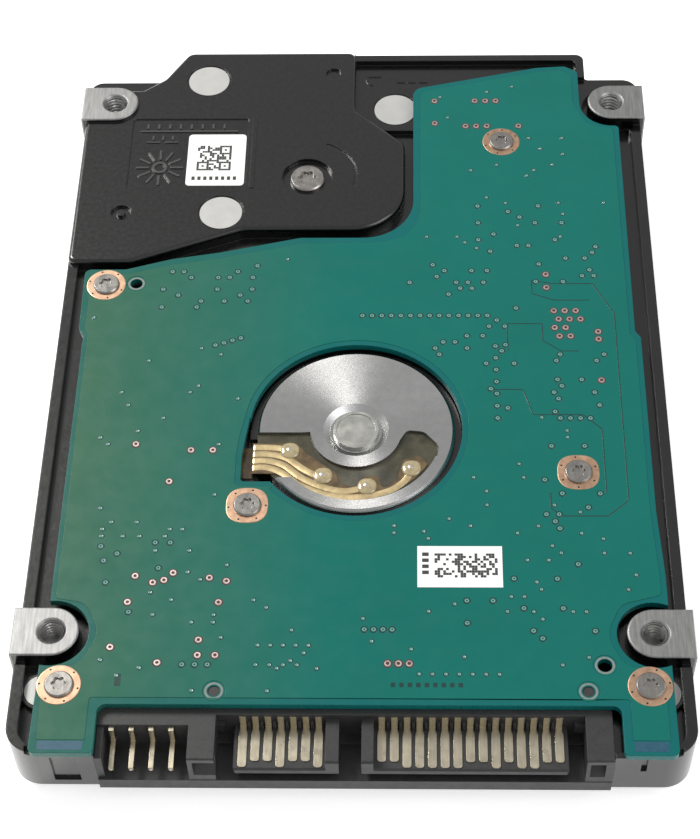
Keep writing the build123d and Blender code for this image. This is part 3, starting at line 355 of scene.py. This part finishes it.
class Heap:
    """Many small shapes gathered into one mesh."""

    def __init__(self):
        self.verts, self.faces, self.picks = [], [], []

    def add(self, verts, faces, picks):
        base = len(self.verts)
        self.verts += verts
        self.faces += [tuple(base + i for i in face) for face in faces]
        self.picks += picks

    def turned(self, x, y, z, profile, picks, sides=20, square=2.0, closed=True):
        """Lathe a profile of (radius, height) about a vertical axis; square over 2 flattens four sides."""
        verts = []
        for r, h in profile:
            for k in range(sides):
                a = 2 * pi * (k + 0.5) / sides
                s = (abs(cos(a)) ** square + abs(sin(a)) ** square) ** (-1 / square)
                verts.append((x + r * s * cos(a), y + r * s * sin(a), z + h))
        faces, kinds = [], []
        for i in range(len(profile) - 1):
            for k in range(sides):
                j = (k + 1) % sides
                faces.append((i * sides + k, i * sides + j, (i + 1) * sides + j, (i + 1) * sides + k))
                kinds.append(picks[i])
        if closed:
            faces.append(tuple((len(profile) - 1) * sides + k for k in range(sides)))
            kinds.append(picks[-1])
        self.add(verts, faces, kinds)

    def tile(self, x0, x1, y0, y1, z, t, pick=0):
        """Thin raised tile; a negative t makes it stand down from z."""
        corners = [(x0, y0), (x1, y0), (x1, y1), (x0, y1)]
        verts = [(x, y, h) for h in (z, z + t) for x, y in corners]
        faces = [(0, 3, 2, 1), (4, 5, 6, 7), (0, 1, 5, 4), (1, 2, 6, 5), (2, 3, 7, 6), (3, 0, 4, 7)]
        if t < 0:
            faces = [face[::-1] for face in faces]
        self.add(verts, faces, [pick] * 6)

    def ribbon(self, path, wide, z, high, pick=0):
        """Strip with a low rounded top along a path of (x, y)."""
        verts, faces = [], []
        rows = [(-0.5, 0), (-0.38, high * 0.8), (0, high), (0.38, high * 0.8), (0.5, 0)]
        for i, point in enumerate(path):
            a, b = Vector(path[max(i - 1, 0)][:2]), Vector(path[min(i + 1, len(path) - 1)][:2])
            way = (b - a).normalized()
            low = point[2] if len(point) > 2 else z
            for across, up in rows:
                verts.append((point[0] - way.y * wide * across, point[1] + way.x * wide * across, low + up))
        n = len(rows)
        for i in range(len(path) - 1):
            for k in range(n - 1):
                faces.append((i * n + k, (i + 1) * n + k, (i + 1) * n + k + 1, i * n + k + 1))
        faces.append(tuple(range(n)))
        faces.append(tuple((len(path) - 1) * n + k for k in reversed(range(n))))
        self.add(verts, faces, [pick] * len(faces))

    def show(self, name, mats, slot, smooth=False):
        return piece(name, self.verts, self.faces, mats, self.picks, smooth)


def rounded(corners, steps=5):
    """Closed outline with each (x, y, radius) corner rounded."""
    line = []
    for i, (x, y, r) in enumerate(corners):
        here = Vector((x, y))
        back = Vector(corners[i - 1][:2]) - here
        ahead = Vector(corners[(i + 1) % len(corners)][:2]) - here
        half = back.angle(ahead) / 2
        if r == 0 or half > 1.5:
            line.append((x, y))
            continue
        cut = min(r / max(0.05, abs(sin(half) / cos(half))), back.length * 0.49, ahead.length * 0.49)
        start, end = here + back.normalized() * cut, here + ahead.normalized() * cut
        for k in range(steps + 1):
            t = k / steps
            line.append(tuple(start * (1 - t) ** 2 + here * 2 * t * (1 - t) + end * t * t))
    return line


def smooth_path(points, steps=6):
    """Open path through the given points with no kinks."""
    line = []
    ends = [points[0]] + list(points) + [points[-1]]
    for i in range(1, len(ends) - 2):
        p0, p1, p2, p3 = (Vector(p) for p in ends[i - 1:i + 3])
        for k in range(steps):
            t = k / steps
            line.append(tuple(0.5 * (2 * p1 + (p2 - p0) * t + (2 * p0 - 5 * p1 + 4 * p2 - p3) * t * t
                                     + (3 * p1 - p0 - 3 * p2 + p3) * t ** 3)))
    return line + [tuple(points[-1])]


def circle(x, y, r, sides=48):
    return [(x + r * cos(2 * pi * k / sides), y + r * sin(2 * pi * k / sides)) for k in range(sides)]


def slab(name, loops, low, high, mat, edge=0.0):
    """Flat plate between two levels; loops after the first are holes."""
    curve = bpy.data.curves.new(name, "CURVE")
    curve.dimensions = "2D"
    curve.fill_mode = "BOTH"
    curve.extrude = (high - low) / 2 * MM
    for loop in loops:
        spline = curve.splines.new("POLY")
        spline.points.add(len(loop) - 1)
        spline.use_cyclic_u = True
        for point, (x, y) in zip(spline.points, loop):
            point.co = (x * MM, y * MM, 0, 1)
    holder = bpy.data.objects.new(name, curve)
    mesh = bpy.data.meshes.new_from_object(holder)
    bpy.data.objects.remove(holder)
    bpy.data.curves.remove(curve)
    for vertex in mesh.vertices:
        vertex.co.z += (high + low) / 2 * MM
    mesh.materials.clear()
    mesh.materials.append(mat)
    shown = bpy.data.objects.new(name, mesh)
    bpy.context.collection.objects.link(shown)
    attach(shown, "drive")
    return shown


# ---------------------------------------------------------------- circuit board
BOARD_SCREWS = [(17.1, 33.9), (-29.4, 10.9), (-11.5, -20.2), (24.1, -15.8), (-29.5, -42.2), (30.0, -42.1)]
BOARD_HOLES = [(-25.9, 11.1, 0.7), (25.6, -39.7, 0.75), (-13.8, -42.8, 0.7), (23.8, -42.7, 0.7)]
PLANE_TOP = BOARD + 0.03

moat = 4.75                                           # clear of the cut-outs round the pads
near, far = MOUNT_YS
plane_outline = rounded([
    (-31.2, -48.4, 0), (-26.3, -48.4, 0), (-26.3, -43.6, 0.4), (27.9, -43.6, 0.4), (27.9, -48.2, 0),
    (31.6, -48.2, 0), (31.6, near - moat + 0.5, 0.3), (27.6, near - 3.6, 2.2), (26.0, near, 3.4),
    (27.6, near + 3.6, 2.2), (31.9, near + moat, 0.5), (31.9, -28.9, 0.6), (31.5, -20.9, 1.0),
    (31.5, 2.6, 0.5), (30.9, 3.6, 0.5), (30.9, far - moat + 0.4, 0.5), (27.8, far - 3.6, 2.2),
    (26.2, far, 1.5), (26.2, 45.6, 0.8), (24.9, 46.4, 0.8), (21.9, 46.1, 3.0), (7.2, 42.7, 1.5),
    (7.2, 17.5, 6.0), (-6.8, 17.3, 2.0), (-16.4, 15.0, 2.0), (-21.9, 14.0, 2.0), (-27.2, 12.5, 1.5),
    (-31.3, 12.5, 0.6), (-31.3, 4.5, 0.4), (-30.9, 3.2, 0.4), (-30.9, near + moat - 0.6, 0.5),
    (-27.6, near + 3.6, 2.2), (-26.0, near, 3.4), (-27.6, near - 3.6, 2.2), (-31.3, near - moat + 0.4, 0.3),
])
motor_gap = circle(SPINDLE.x, SPINDLE.y, 12.35, 60)
in_notch = [i for i, (x, y) in enumerate(motor_gap) if x < -8.3 and -17.6 < y < -9.4]
motor_gap[in_notch[0]:in_notch[-1] + 1] = [
    (-12.7, -10.5), (-13.0, -13.4), (-13.0, -17.3), (-12.7, -17.6), (-8.9, -17.7),
]
holes = [motor_gap] + [circle(x, y, r + 0.45, 24) for x, y, r in BOARD_HOLES]
slab("copper_plane", [plane_outline] + holes, BOARD, PLANE_TOP, PLANE)

DARK_MASK = plain_look("mask_in_gaps", (0.0, 0.035, 0.033), 0.28, 0.4, 0.004, 0.25, Coat_Weight=0.3)
PALE_MASK = plain_look("mask_on_vias", (0.13, 0.36, 0.31), 0.25, 0.2, 0.004, 0.25, Coat_Weight=0.5)
PAD_METAL = metal_look("pad_tin", (0.62, 0.53, 0.5), 0.35, size=0.15, spread=0.2)
PAD_EDGE = plain_look("pad_edge", (0.07, 0.018, 0.02), 0.4, 0.2, 0.004)
RING_COPPER = metal_look("ring_copper", (0.62, 0.4, 0.27), 0.4, size=0.7, spread=0.28)
GREY_RIM = plain_look("hole_rim", (0.2, 0.24, 0.22), 0.35, 0.2, 0.004, 0.25)
# Painted shade: near-black for the insides of small holes.
PAINTED_HOLE_SHADE = plain_look("painted_hole_shade", (0.006, 0.006, 0.006), 0.6)

# Each kind of spot has a lathe profile and the material of each band of it.
SMALL = ([(0.3, 0), (0.27, 0.02), (0.18, 0.03), (0.12, 0.07), (0.04, 0.05)], [0, 0, 1, 1, 0])
LARGE = ([(0.42, 0), (0.38, 0.03), (0.25, 0.03), (0.2, 0.075), (0.1, 0.07), (0.05, 0.03)], [0, 0, 1, 1, 0, 0])
PAD = ([(0.5, 0), (0.46, 0.03), (0.37, 0.03), (0.34, 0.07), (0.18, 0.07), (0.13, 0.02)], [3, 3, 2, 2, 3, 3])


def rect(node):
    """Left, right, front and back of a node in millimetres."""
    low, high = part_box(node)
    return low.x / MM, high.x / MM, low.y / MM, high.y / MM


class Spots(Heap):
    """Vias and test pads, each set only where the board is free."""

    EDGE, BETWEEN = 0.5, 0.08                          # clear of the plane's edge, and of one another
    GRID_X, GRID_Y = 0.45, 0.9
    draw = random.Random(11)

    def __init__(self, outline, discs, sheet):
        super().__init__()
        self.outline, self.discs, self.sheet = outline, list(discs), sheet

    def on_board(self, x, y):
        ahead = 0
        for (x0, y0), (x1, y1) in zip(self.outline, self.outline[1:] + self.outline[:1]):
            if (y0 > y) != (y1 > y) and x < x0 + (y - y0) * (x1 - x0) / (y1 - y0):
                ahead += 1
        return ahead % 2 == 1

    def put(self, kind, x, y):
        profile, picks = kind
        r = profile[0][0]
        reach = r + self.EDGE
        rim = [(x + reach * cos(pi * k / 4), y + reach * sin(pi * k / 4)) for k in range(8)]
        left, right, front, back = self.sheet
        under_sheet = left - r < x < right + r and front - r < y < back + r
        taken = any(hypot(x - cx, y - cy) < r + cr for cx, cy, cr in self.discs)
        if under_sheet or taken or not all(self.on_board(*point) for point in rim):
            return
        self.turned(x, y, PLANE_TOP - SINK, profile, picks, 16)
        self.discs.append((x, y, r + self.BETWEEN))

    def row(self, kind, x, y, dx, dy, count):
        for k in range(count):
            self.put(kind, x + k * dx, y + k * dy)

    def cluster(self, kind, x0, x1, y0, y1, count):
        """Loose group on a fine grid, denser along its rows than across them."""
        for _ in range(count):
            x = x0 + self.GRID_X * round(self.draw.uniform(0, x1 - x0) / self.GRID_X)
            y = y0 + self.GRID_Y * round(self.draw.uniform(0, y1 - y0) / self.GRID_Y)
            self.put(kind, x, y)


board_left, board_right, board_front, board_back = rect("circuit_board")
cpu_left, cpu_right, cpu_front, cpu_back = rect("controller_chip")
driver_left, driver_right, driver_front, driver_back = rect("motor_driver_chip")
plug_left, _, plug_front, plug_back = rect("head_plug")
signal_left, signal_right, _, contact_back = rect("signal_contacts")
power_left, power_right, _, _ = rect("power_contacts")
_, sticker_right, sticker_front, _ = rect("code_stickers")
sheet = (sticker_right - 9.0, sticker_right + 0.2, sticker_front - 0.2, sticker_front + 5.2)
discs = [(SPINDLE.x, SPINDLE.y, 12.8)] + [(x, y, 2.6) for x, y in BOARD_SCREWS]
discs += [(x, y, r + 0.7) for x, y, r in BOARD_HOLES]
spots = Spots(plane_outline, discs, sheet)

# Beside the heads' plug.
spots.row(PAD, plug_left + 4.4, plug_front - 1.0, 1.3, 0, 6)
spots.row(PAD, plug_left + 5.6, plug_back - 2.6, 1.3, 0, 3)
spots.row(PAD, plug_left + 0.6, plug_front - 0.5, 0, 3.9, 2)
# Over the controller and round it.
for k, count in enumerate((3, 3, 2, 2)):
    spots.row(PAD, cpu_left + 7.4 + 0.5 * (k % 2), cpu_back - 0.6 - 1.25 * k, 1.25, 0, count)
spots.row(PAD, cpu_left + 6.7, cpu_back + 2.9, 0, 1.0, 3)
spots.row(PAD, cpu_right + 0.3, cpu_front + 1.3, 0, 0.95, 2)
spots.row(PAD, cpu_right + 0.3, cpu_back - 4.8, 0, 1.1, 2)
spots.row(LARGE, cpu_left + 0.6, cpu_front - 4.0, 0, 0.85, 14)
spots.row(LARGE, cpu_right - 4.5, cpu_front - 4.0, 1.1, 0, 4)
spots.cluster(LARGE, cpu_left - 0.5, cpu_left + 3.0, cpu_front - 3.5, cpu_back, 16)
spots.cluster(LARGE, cpu_right - 6.5, cpu_right + 0.5, cpu_back + 2.0, cpu_back + 9.5, 13)
spots.cluster(LARGE, cpu_right - 5.5, cpu_right + 1.0, cpu_front - 4.0, cpu_back - 4.0, 17)
spots.cluster(LARGE, cpu_left + 5.0, cpu_right - 0.5, cpu_front - 19.5, cpu_front - 7.5, 22)
# Behind the controller, and between it and the motor.
spots.cluster(LARGE, cpu_left - 1.0, cpu_left + 9.0, cpu_back + 8.5, cpu_back + 16.0, 13)
spots.cluster(LARGE, cpu_left - 10.0, cpu_left + 1.0, cpu_back + 1.0, cpu_back + 6.0, 20)
spots.row(LARGE, cpu_left - 14.5, cpu_back - 1.3, 1.1, 0, 14)
spots.cluster(LARGE, cpu_left - 8.0, cpu_left + 1.0, cpu_back - 7.0, cpu_back - 4.5, 11)
# Round the motor driver.
spots.row(PAD, driver_right - 2.0, driver_front - 4.9, 2.4, 0, 2)
spots.row(PAD, driver_left + 0.9, driver_front - 4.1, 4.0, -5.0, 2)
spots.cluster(SMALL, driver_left - 3.5, driver_right + 3.0, driver_front - 5.0, driver_back + 1.5, 14)
spots.row(LARGE, driver_right - 1.1, driver_back + 0.5, 0.95, 0.35, 5)
# In the corner behind the driver.
spots.cluster(LARGE, driver_left + 0.5, driver_right + 4.5, driver_back + 6.5, driver_back + 12.5, 30)
# In front of the driver, and behind the contacts.
spots.row(PAD, signal_left - 3.7, contact_back + 13.2, 0.9, -0.2, 4)
spots.row(PAD, signal_left - 11.5, contact_back + 13.4, 0.95, -0.4, 3)
spots.row(PAD, power_left + 1.0, contact_back + 3.0, 1.1, 0, 3)
spots.row(LARGE, signal_left - 9.7, contact_back + 17.6, 0.8, 0, 3)
spots.row(LARGE, power_left - 1.4, contact_back + 7.0, 0.95, 0, 4)
spots.row(LARGE, signal_left - 5.9, contact_back + 2.8, 1.3, 0, 3)
spots.row(SMALL, signal_left + 1.7, contact_back + 5.1, 1.3, 0, 5)
spots.row(SMALL, signal_left + 1.6, contact_back + 2.8, 1.4, 0, 4)
spots.row(SMALL, signal_left - 4.7, contact_back - 0.2, 3.8, 0, 3)
spots.row(SMALL, power_left + 4.2, contact_back + 1.8, 1.35, 0, 7)
spots.cluster(PAD, driver_left - 1.5, driver_right + 3.0, contact_back + 3.0, contact_back + 17.0, 11)
spots.cluster(LARGE, driver_left - 4.0, driver_right - 3.0, contact_back + 9.0, contact_back + 18.0, 12)
spots.cluster(SMALL, driver_left - 4.0, driver_right + 4.0, contact_back + 13.0, contact_back + 25.0, 22)
spots.cluster(SMALL, driver_left - 1.0, signal_right, contact_back + 1.5, contact_back + 11.0, 20)
spots.cluster(LARGE, power_left + 6.0, power_right + 5.0, contact_back + 6.0, contact_back + 15.0, 12)
spots.cluster(SMALL, power_left - 2.0, power_right + 8.0, contact_back + 2.0, contact_back + 20.0, 34)
# Along both edges, and the few that stand alone.
spots.row(SMALL, board_left + 1.7, board_front + 21.5, 0, 4.9, 8)
spots.row(SMALL, board_right - 1.6, board_front + 29.5, 0, 3.2, 7)
spots.row(SMALL, board_right - 2.1, board_back - 29.2, 0, 4.6, 5)
spots.cluster(SMALL, board_left + 3.0, SPINDLE.x + 5.0, cpu_back + 5.5, board_back, 7)
spots.cluster(SMALL, cpu_left - 8.0, board_right - 3.0, cpu_back + 9.0, board_back - 2.0, 34)
spots.cluster(SMALL, SPINDLE.x + 2.0, board_right - 2.0, contact_back + 18.0, cpu_front - 4.0, 28)
spots.show("vias_and_pads", [DARK_MASK, PALE_MASK, PAD_METAL, PAD_EDGE], "solder_mask")

RING_R = 2.28
rings = Heap()
for i, (x, y) in enumerate(BOARD_SCREWS):
    profile = [(RING_R, 0), (RING_R - 0.02, 0.035), (RING_R - 0.08, 0.05), (1.2, 0.05), (1.18, 0)]
    rings.turned(x, y, PLANE_TOP - SINK, profile, [0] * 4, 48, 2.6 if i in (2, 3) else 2.0, closed=False)
    # Painted shade: six near-black dots on each ring stand in for the shade inside small holes.
    for k in range(6):
        a = radians(28 + 57 * k + 23 * i)
        spot = (x + 2.0 * cos(a), y + 2.0 * sin(a))
        rings.turned(*spot, PLANE_TOP + 0.046, [(0.13, 0), (0.11, 0.006), (0.06, 0.004)], [1, 1, 1], 10)
for x, y, r in BOARD_HOLES:
    profile = [(r + 0.28, 0), (r + 0.25, 0.02), (r + 0.05, 0.02), (r + 0.02, 0)]
    rings.turned(x, y, BOARD - SINK, profile, [2] * 3, 32, closed=False)
rings.show("screw_rings", [RING_COPPER, PAINTED_HOLE_SHADE, GREY_RIM], "solder_mask")

traces = Heap()
bus_x, gap = cpu_right + 2.3, 1.0                     # the long trace keeps this gap at its bends
for path in (
    [(cpu_right - 4.5, cpu_back + 3.5), (cpu_right, cpu_back + 3.5), (bus_x, cpu_back - gap),
     (bus_x, cpu_front - 15), (cpu_right, cpu_front - 17), (cpu_right - 5, cpu_front - 17),
     (cpu_right - 6, cpu_front - 16), (cpu_right - 6, cpu_front - 14)],
    [(cpu_right - 4.5, cpu_back + 3.5), (cpu_right - 7, cpu_back + 4), (cpu_right - 7, cpu_back + 2),
     (cpu_right - 4.5, cpu_back + gap), (cpu_right - 0.5, cpu_back + gap)],
    [(cpu_left + 2, cpu_front + 5.5), (cpu_left + 2, cpu_back - 2.5), (cpu_left + 6, cpu_back - 2.5),
     (cpu_left + 6, cpu_front + 7), (cpu_right - 4, cpu_front + 5.5), (cpu_right - 2, cpu_front + 5.5)],
    [(cpu_left, cpu_front), (cpu_left + 3.5, cpu_front), (cpu_left + 4.5, cpu_front - 3.5),
     (cpu_right - 2, cpu_front - 3.5), (cpu_right, cpu_front - 5.5), (cpu_right, cpu_front - 14)],
):
    line = []
    for a, b in zip(path, path[1:]):
        line += [(a[0] * (1 - t) + b[0] * t, a[1] * (1 - t) + b[1] * t) for t in (0, 0.1, 0.9)]
    traces.ribbon(line + [path[-1]], 0.14, PLANE_TOP - SINK, 0.012)
for k in range(9):
    traces.tile(4.0 + 0.85 * k, 4.45 + 0.85 * k, -42.3, -41.8, PLANE_TOP - SINK, 0.012)
traces.tile(-23.9, -23.3, -42.3, -40.9, PLANE_TOP - SINK, 0.012)
traces.tile(-31.0, -26.5, -49.5, -48.5, BOARD - SINK, 0.014, 1)
traces.tile(28.0, 31.4, -49.4, -48.3, BOARD - SINK, 0.014, 1)
BAR = plain_look("edge_bar", (0.012, 0.08, 0.13), 0.4, 0.3, 0.004)
traces.show("board_traces", [DARK_MASK, BAR], "solder_mask")

# ---------------------------------------------------------------- motor cable and lead joints
LEADS = [(SPINDLE.x + x, SPINDLE.y + y) for x, y in ((-7.2, -2.75), (-3.5, -6.1), (1.3, -7.5), (6.1, -5.1))]
FOLD_X = -11.3
COPPER = metal_look("cable_copper", (0.86, 0.68, 0.38), 0.3, size=0.5, spread=0.2)
RESIN = plain_look("lead_resin_dome", (0.44, 0.36, 0.2), 0.16, 0.6, 0.02, 0.35,
                   Coat_Weight=1.0, Coat_Roughness=0.04)
SOLDER = metal_look("lead_solder", (0.78, 0.74, 0.62), 0.25, size=0.3, spread=0.2)

conductors = Heap()
for i, (lead, ways) in enumerate(zip(LEADS, (
    [(-9.6, -12.1), (-8.4, -12.2)],
    [(-9.6, -13.0), (-7.6, -13.5), (-5.8, -14.9), (-4.5, -15.7)],
    [(-9.6, -13.9), (-7.8, -14.5), (-5.9, -16.1), (-3.4, -17.4), (-1.0, -17.9)],
    [(-9.6, -14.8), (-8.0, -15.5), (-6.0, -17.1), (-3.0, -18.4), (0.5, -18.7), (3.6, -17.9), (5.4, -16.5)],
))):
    start = -12.1 - 0.9 * i
    over = [(FOLD_X - 0.06, start, CABLE - 0.7), (FOLD_X - 0.05, start, CABLE - 0.15),
            (FOLD_X + 0.12, start, CABLE)]
    line = [(x, y, CABLE) for x, y in smooth_path([(FOLD_X + 0.3, start)] + ways + [lead])]
    conductors.ribbon(over + line, 0.76, CABLE, 0.03)
for lead in LEADS:
    conductors.turned(*lead, CABLE, [(0.95, 0), (0.9, 0.03), (0.5, 0.03)], [0, 0, 0], 24)
conductors.show("cable_conductors", [COPPER], "flex_film", True)

domes = Heap()
for x, y in LEADS:
    profile = [(1.05 - 0.024 * k * k, 0.26 * sin(pi * k / 12)) for k in range(6)]
    domes.turned(x, y, CABLE + 0.02, profile + [(0.12, 0.27)], [1] * 7, 28, 2.3)
    domes.turned(x - 0.05, y + 0.05, CABLE + 0.25, [(0.34, 0), (0.28, 0.04), (0.14, 0.06)], [0] * 3, 20)
lead_domes = domes.show("lead_domes", [SOLDER, RESIN], "lead_resin", True)
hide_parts("motor_lead_joints")


# ---------------------------------------------------------------- threads in the mounting holes
def thread(heap, origin, way, depth, sides=28, pitch=0.5):
    """Helical ridge inside a tapped hole that opens along way."""
    way = Vector(way)
    u = way.orthogonal().normalized()
    v = way.cross(u)
    verts, faces = [], []
    count = int(depth / pitch * sides)
    for k in range(count + 1):
        a, run = 2 * pi * k / sides, -depth + k * pitch / sides
        for r, shift in ((TAP_R + 0.01, -0.2), (TAP_R - 0.14, 0), (TAP_R + 0.01, 0.2)):
            verts.append(tuple(Vector(origin) + way * (run + shift) + (u * cos(a) + v * sin(a)) * r))
    for k in range(count):
        for j in range(2):
            faces.append((3 * k + j, 3 * k + j + 1, 3 * k + j + 4, 3 * k + j + 3))
    heap.add(verts, faces, [0] * len(faces))


THREAD_TOP, THREAD_DEPTH = 9.15, 2.5
SIDE_THREAD_X, SIDE_THREAD_Z, SIDE_THREAD_DEPTH = 34.65, 6.5, 2.1
threads = Heap()
for side in (-1, 1):
    for y in MOUNT_YS:
        thread(threads, (side * MOUNT_X, y, THREAD_TOP), (0, 0, 1), THREAD_DEPTH)
        thread(threads, (side * SIDE_THREAD_X, y, SIDE_THREAD_Z), (side, 0, 0), SIDE_THREAD_DEPTH)
threads.show("mount_threads", [metal_look("thread_metal", (0.8, 0.8, 0.79), 0.34)], "black_casting", True)

# ---------------------------------------------------------------- printing on the stickers and the label
INK = plain_look("print_ink", (0.03, 0.03, 0.035), 0.5, 0.2, 0.002)
chance = random.Random(5)
prints = Heap()
PANEL_DEPTH, STICKER_T, INK_T = 0.15, 0.08, 0.004      # the roof's sticker lies in a shallow panel


def code(x, y, step, columns, rows, z, finders=()):
    """Square modules in no real code, with optional finder squares at the named corners."""
    for i in range(columns):
        for j in range(rows):
            corner = next((c for c in finders if c[0] <= i < c[0] + 5 and c[1] <= j < c[1] + 5), None)
            if corner:
                a, b = i - corner[0], j - corner[1]
                on = a in (0, 4) or b in (0, 4) or (a, b) == (2, 2)
            else:
                on = chance.random() < 0.5
            if on:
                left, front, wide = x + i * step, y + j * step, 0.96 * step
                prints.tile(left, left + wide, front, front + wide, z, INK_T)


sticker = ROOF - PANEL_DEPTH + STICKER_T
code(-20.1, 29.4, 0.3, 14, 14, sticker, ((0, 0), (9, 0), (9, 9)))
for k in range(8):
    prints.tile(-20.6 + 0.72 * k, -20.2 + 0.72 * k, 27.8, 28.4, sticker, INK_T)
top = BOARD + STICKER_T
code(8.5, -29.3, 0.3, 22, 10, top)
for k in range(4):
    prints.tile(7.2, 7.9, -28.9 + 0.75 * k, -28.45 + 0.75 * k, top, INK_T)
prints.show("sticker_print", [INK], "label_paper")

prints = Heap()
LINES = ((24, 9), (20, 14), (16, 12), (6, 16), (3, 13), (0, 15), (-3, 11), (-14, 14), (-17, 12))
for y, count in LINES:
    x = -24.0
    for k in range(count):
        run = chance.uniform(0.8, 3.6)
        if x + run > 24:
            break
        prints.tile(x, x + run, y, y + 0.9, 0, -INK_T)
        x += run + 0.7
for x0, x1, y0, y1 in ((-25, 25, 10.6, 10.8), (-25, 25, -6.4, -6.2), (-25, -24.8, -6.4, 10.8),
                       (24.8, 25, -6.4, 10.8), (-8, -7.8, -6.4, 10.8), (-25, 25, 27.2, 29.6)):
    prints.tile(x0, x1, y0, y1, 0, -INK_T)
x = -22.0
while x < 4:
    bar = chance.choice((0.2, 0.4, 0.6))
    prints.tile(x, x + bar, -28, -22, 0, -INK_T)
    x += bar + chance.choice((0.25, 0.45))
for i in range(16):
    for j in range(16):
        if chance.random() < 0.5 or i == 0 or j == 0:
            prints.tile(10 + 0.5 * i, 10.5 + 0.5 * i, -30 + 0.5 * j, -29.5 + 0.5 * j, 0, -INK_T)
prints.show("label_print", [INK], "label_paper")

# ---------------------------------------------------------------- stage, light and camera
floor_mesh = bpy.data.meshes.new("floor")
floor_mesh.from_pydata([(-2, -2, 0), (2, -2, 0), (2, 2, 0), (-2, 2, 0)], [], [(0, 1, 2, 3)])
floor = bpy.data.objects.new("floor", floor_mesh)
floor.location.z = -0.0002
bpy.context.collection.objects.link(floor)
FLOOR_LOOK = plain_look("floor", (0.94, 0.94, 0.94), 0.7, 4.0, 0.0, 0.01, Emission_Strength=0.42)
floor.data.materials.append(FLOOR_LOOK)


def area_light(name, place, target, size, power, color=(1, 1, 1)):
    light = bpy.data.lights.new(name, "AREA")
    light.size = size
    light.energy = power
    light.color = color
    lamp = bpy.data.objects.new(name, light)
    bpy.context.collection.objects.link(lamp)
    lamp.location = place
    lamp.rotation_euler = (Vector(target) - Vector(place)).to_track_quat("-Z", "Y").to_euler()


area_light("key", (-0.32, 0.28, 0.42), (0, 0, 0), 0.22, 3.2, (1.0, 0.98, 0.94))
area_light("fill", (0.4, -0.15, 0.45), (0, 0, 0), 0.4, 1.3)

world = bpy.data.worlds.new("studio")
world.use_nodes = True
world.node_tree.nodes["Background"].inputs["Color"].default_value = (1, 1, 1, 1)
world.node_tree.nodes["Background"].inputs["Strength"].default_value = 0.55
bpy.context.scene.world = world
bpy.context.scene.view_settings.view_transform = "Standard"

LENS_MM, SENSOR_MM = 87.9, 36
CAMERA_PLACE = (0.00573, -0.14443, 0.18972)
CAMERA_ANGLES = (36.941, 1.282, 0.999)
camera = bpy.data.cameras.new("camera")
camera.lens = LENS_MM
camera.sensor_width = SENSOR_MM
camera_object = bpy.data.objects.new("camera", camera)
bpy.context.collection.objects.link(camera_object)
camera_object.location = CAMERA_PLACE
camera_object.rotation_euler = Euler([radians(angle) for angle in CAMERA_ANGLES])
bpy.context.scene.camera = camera_object
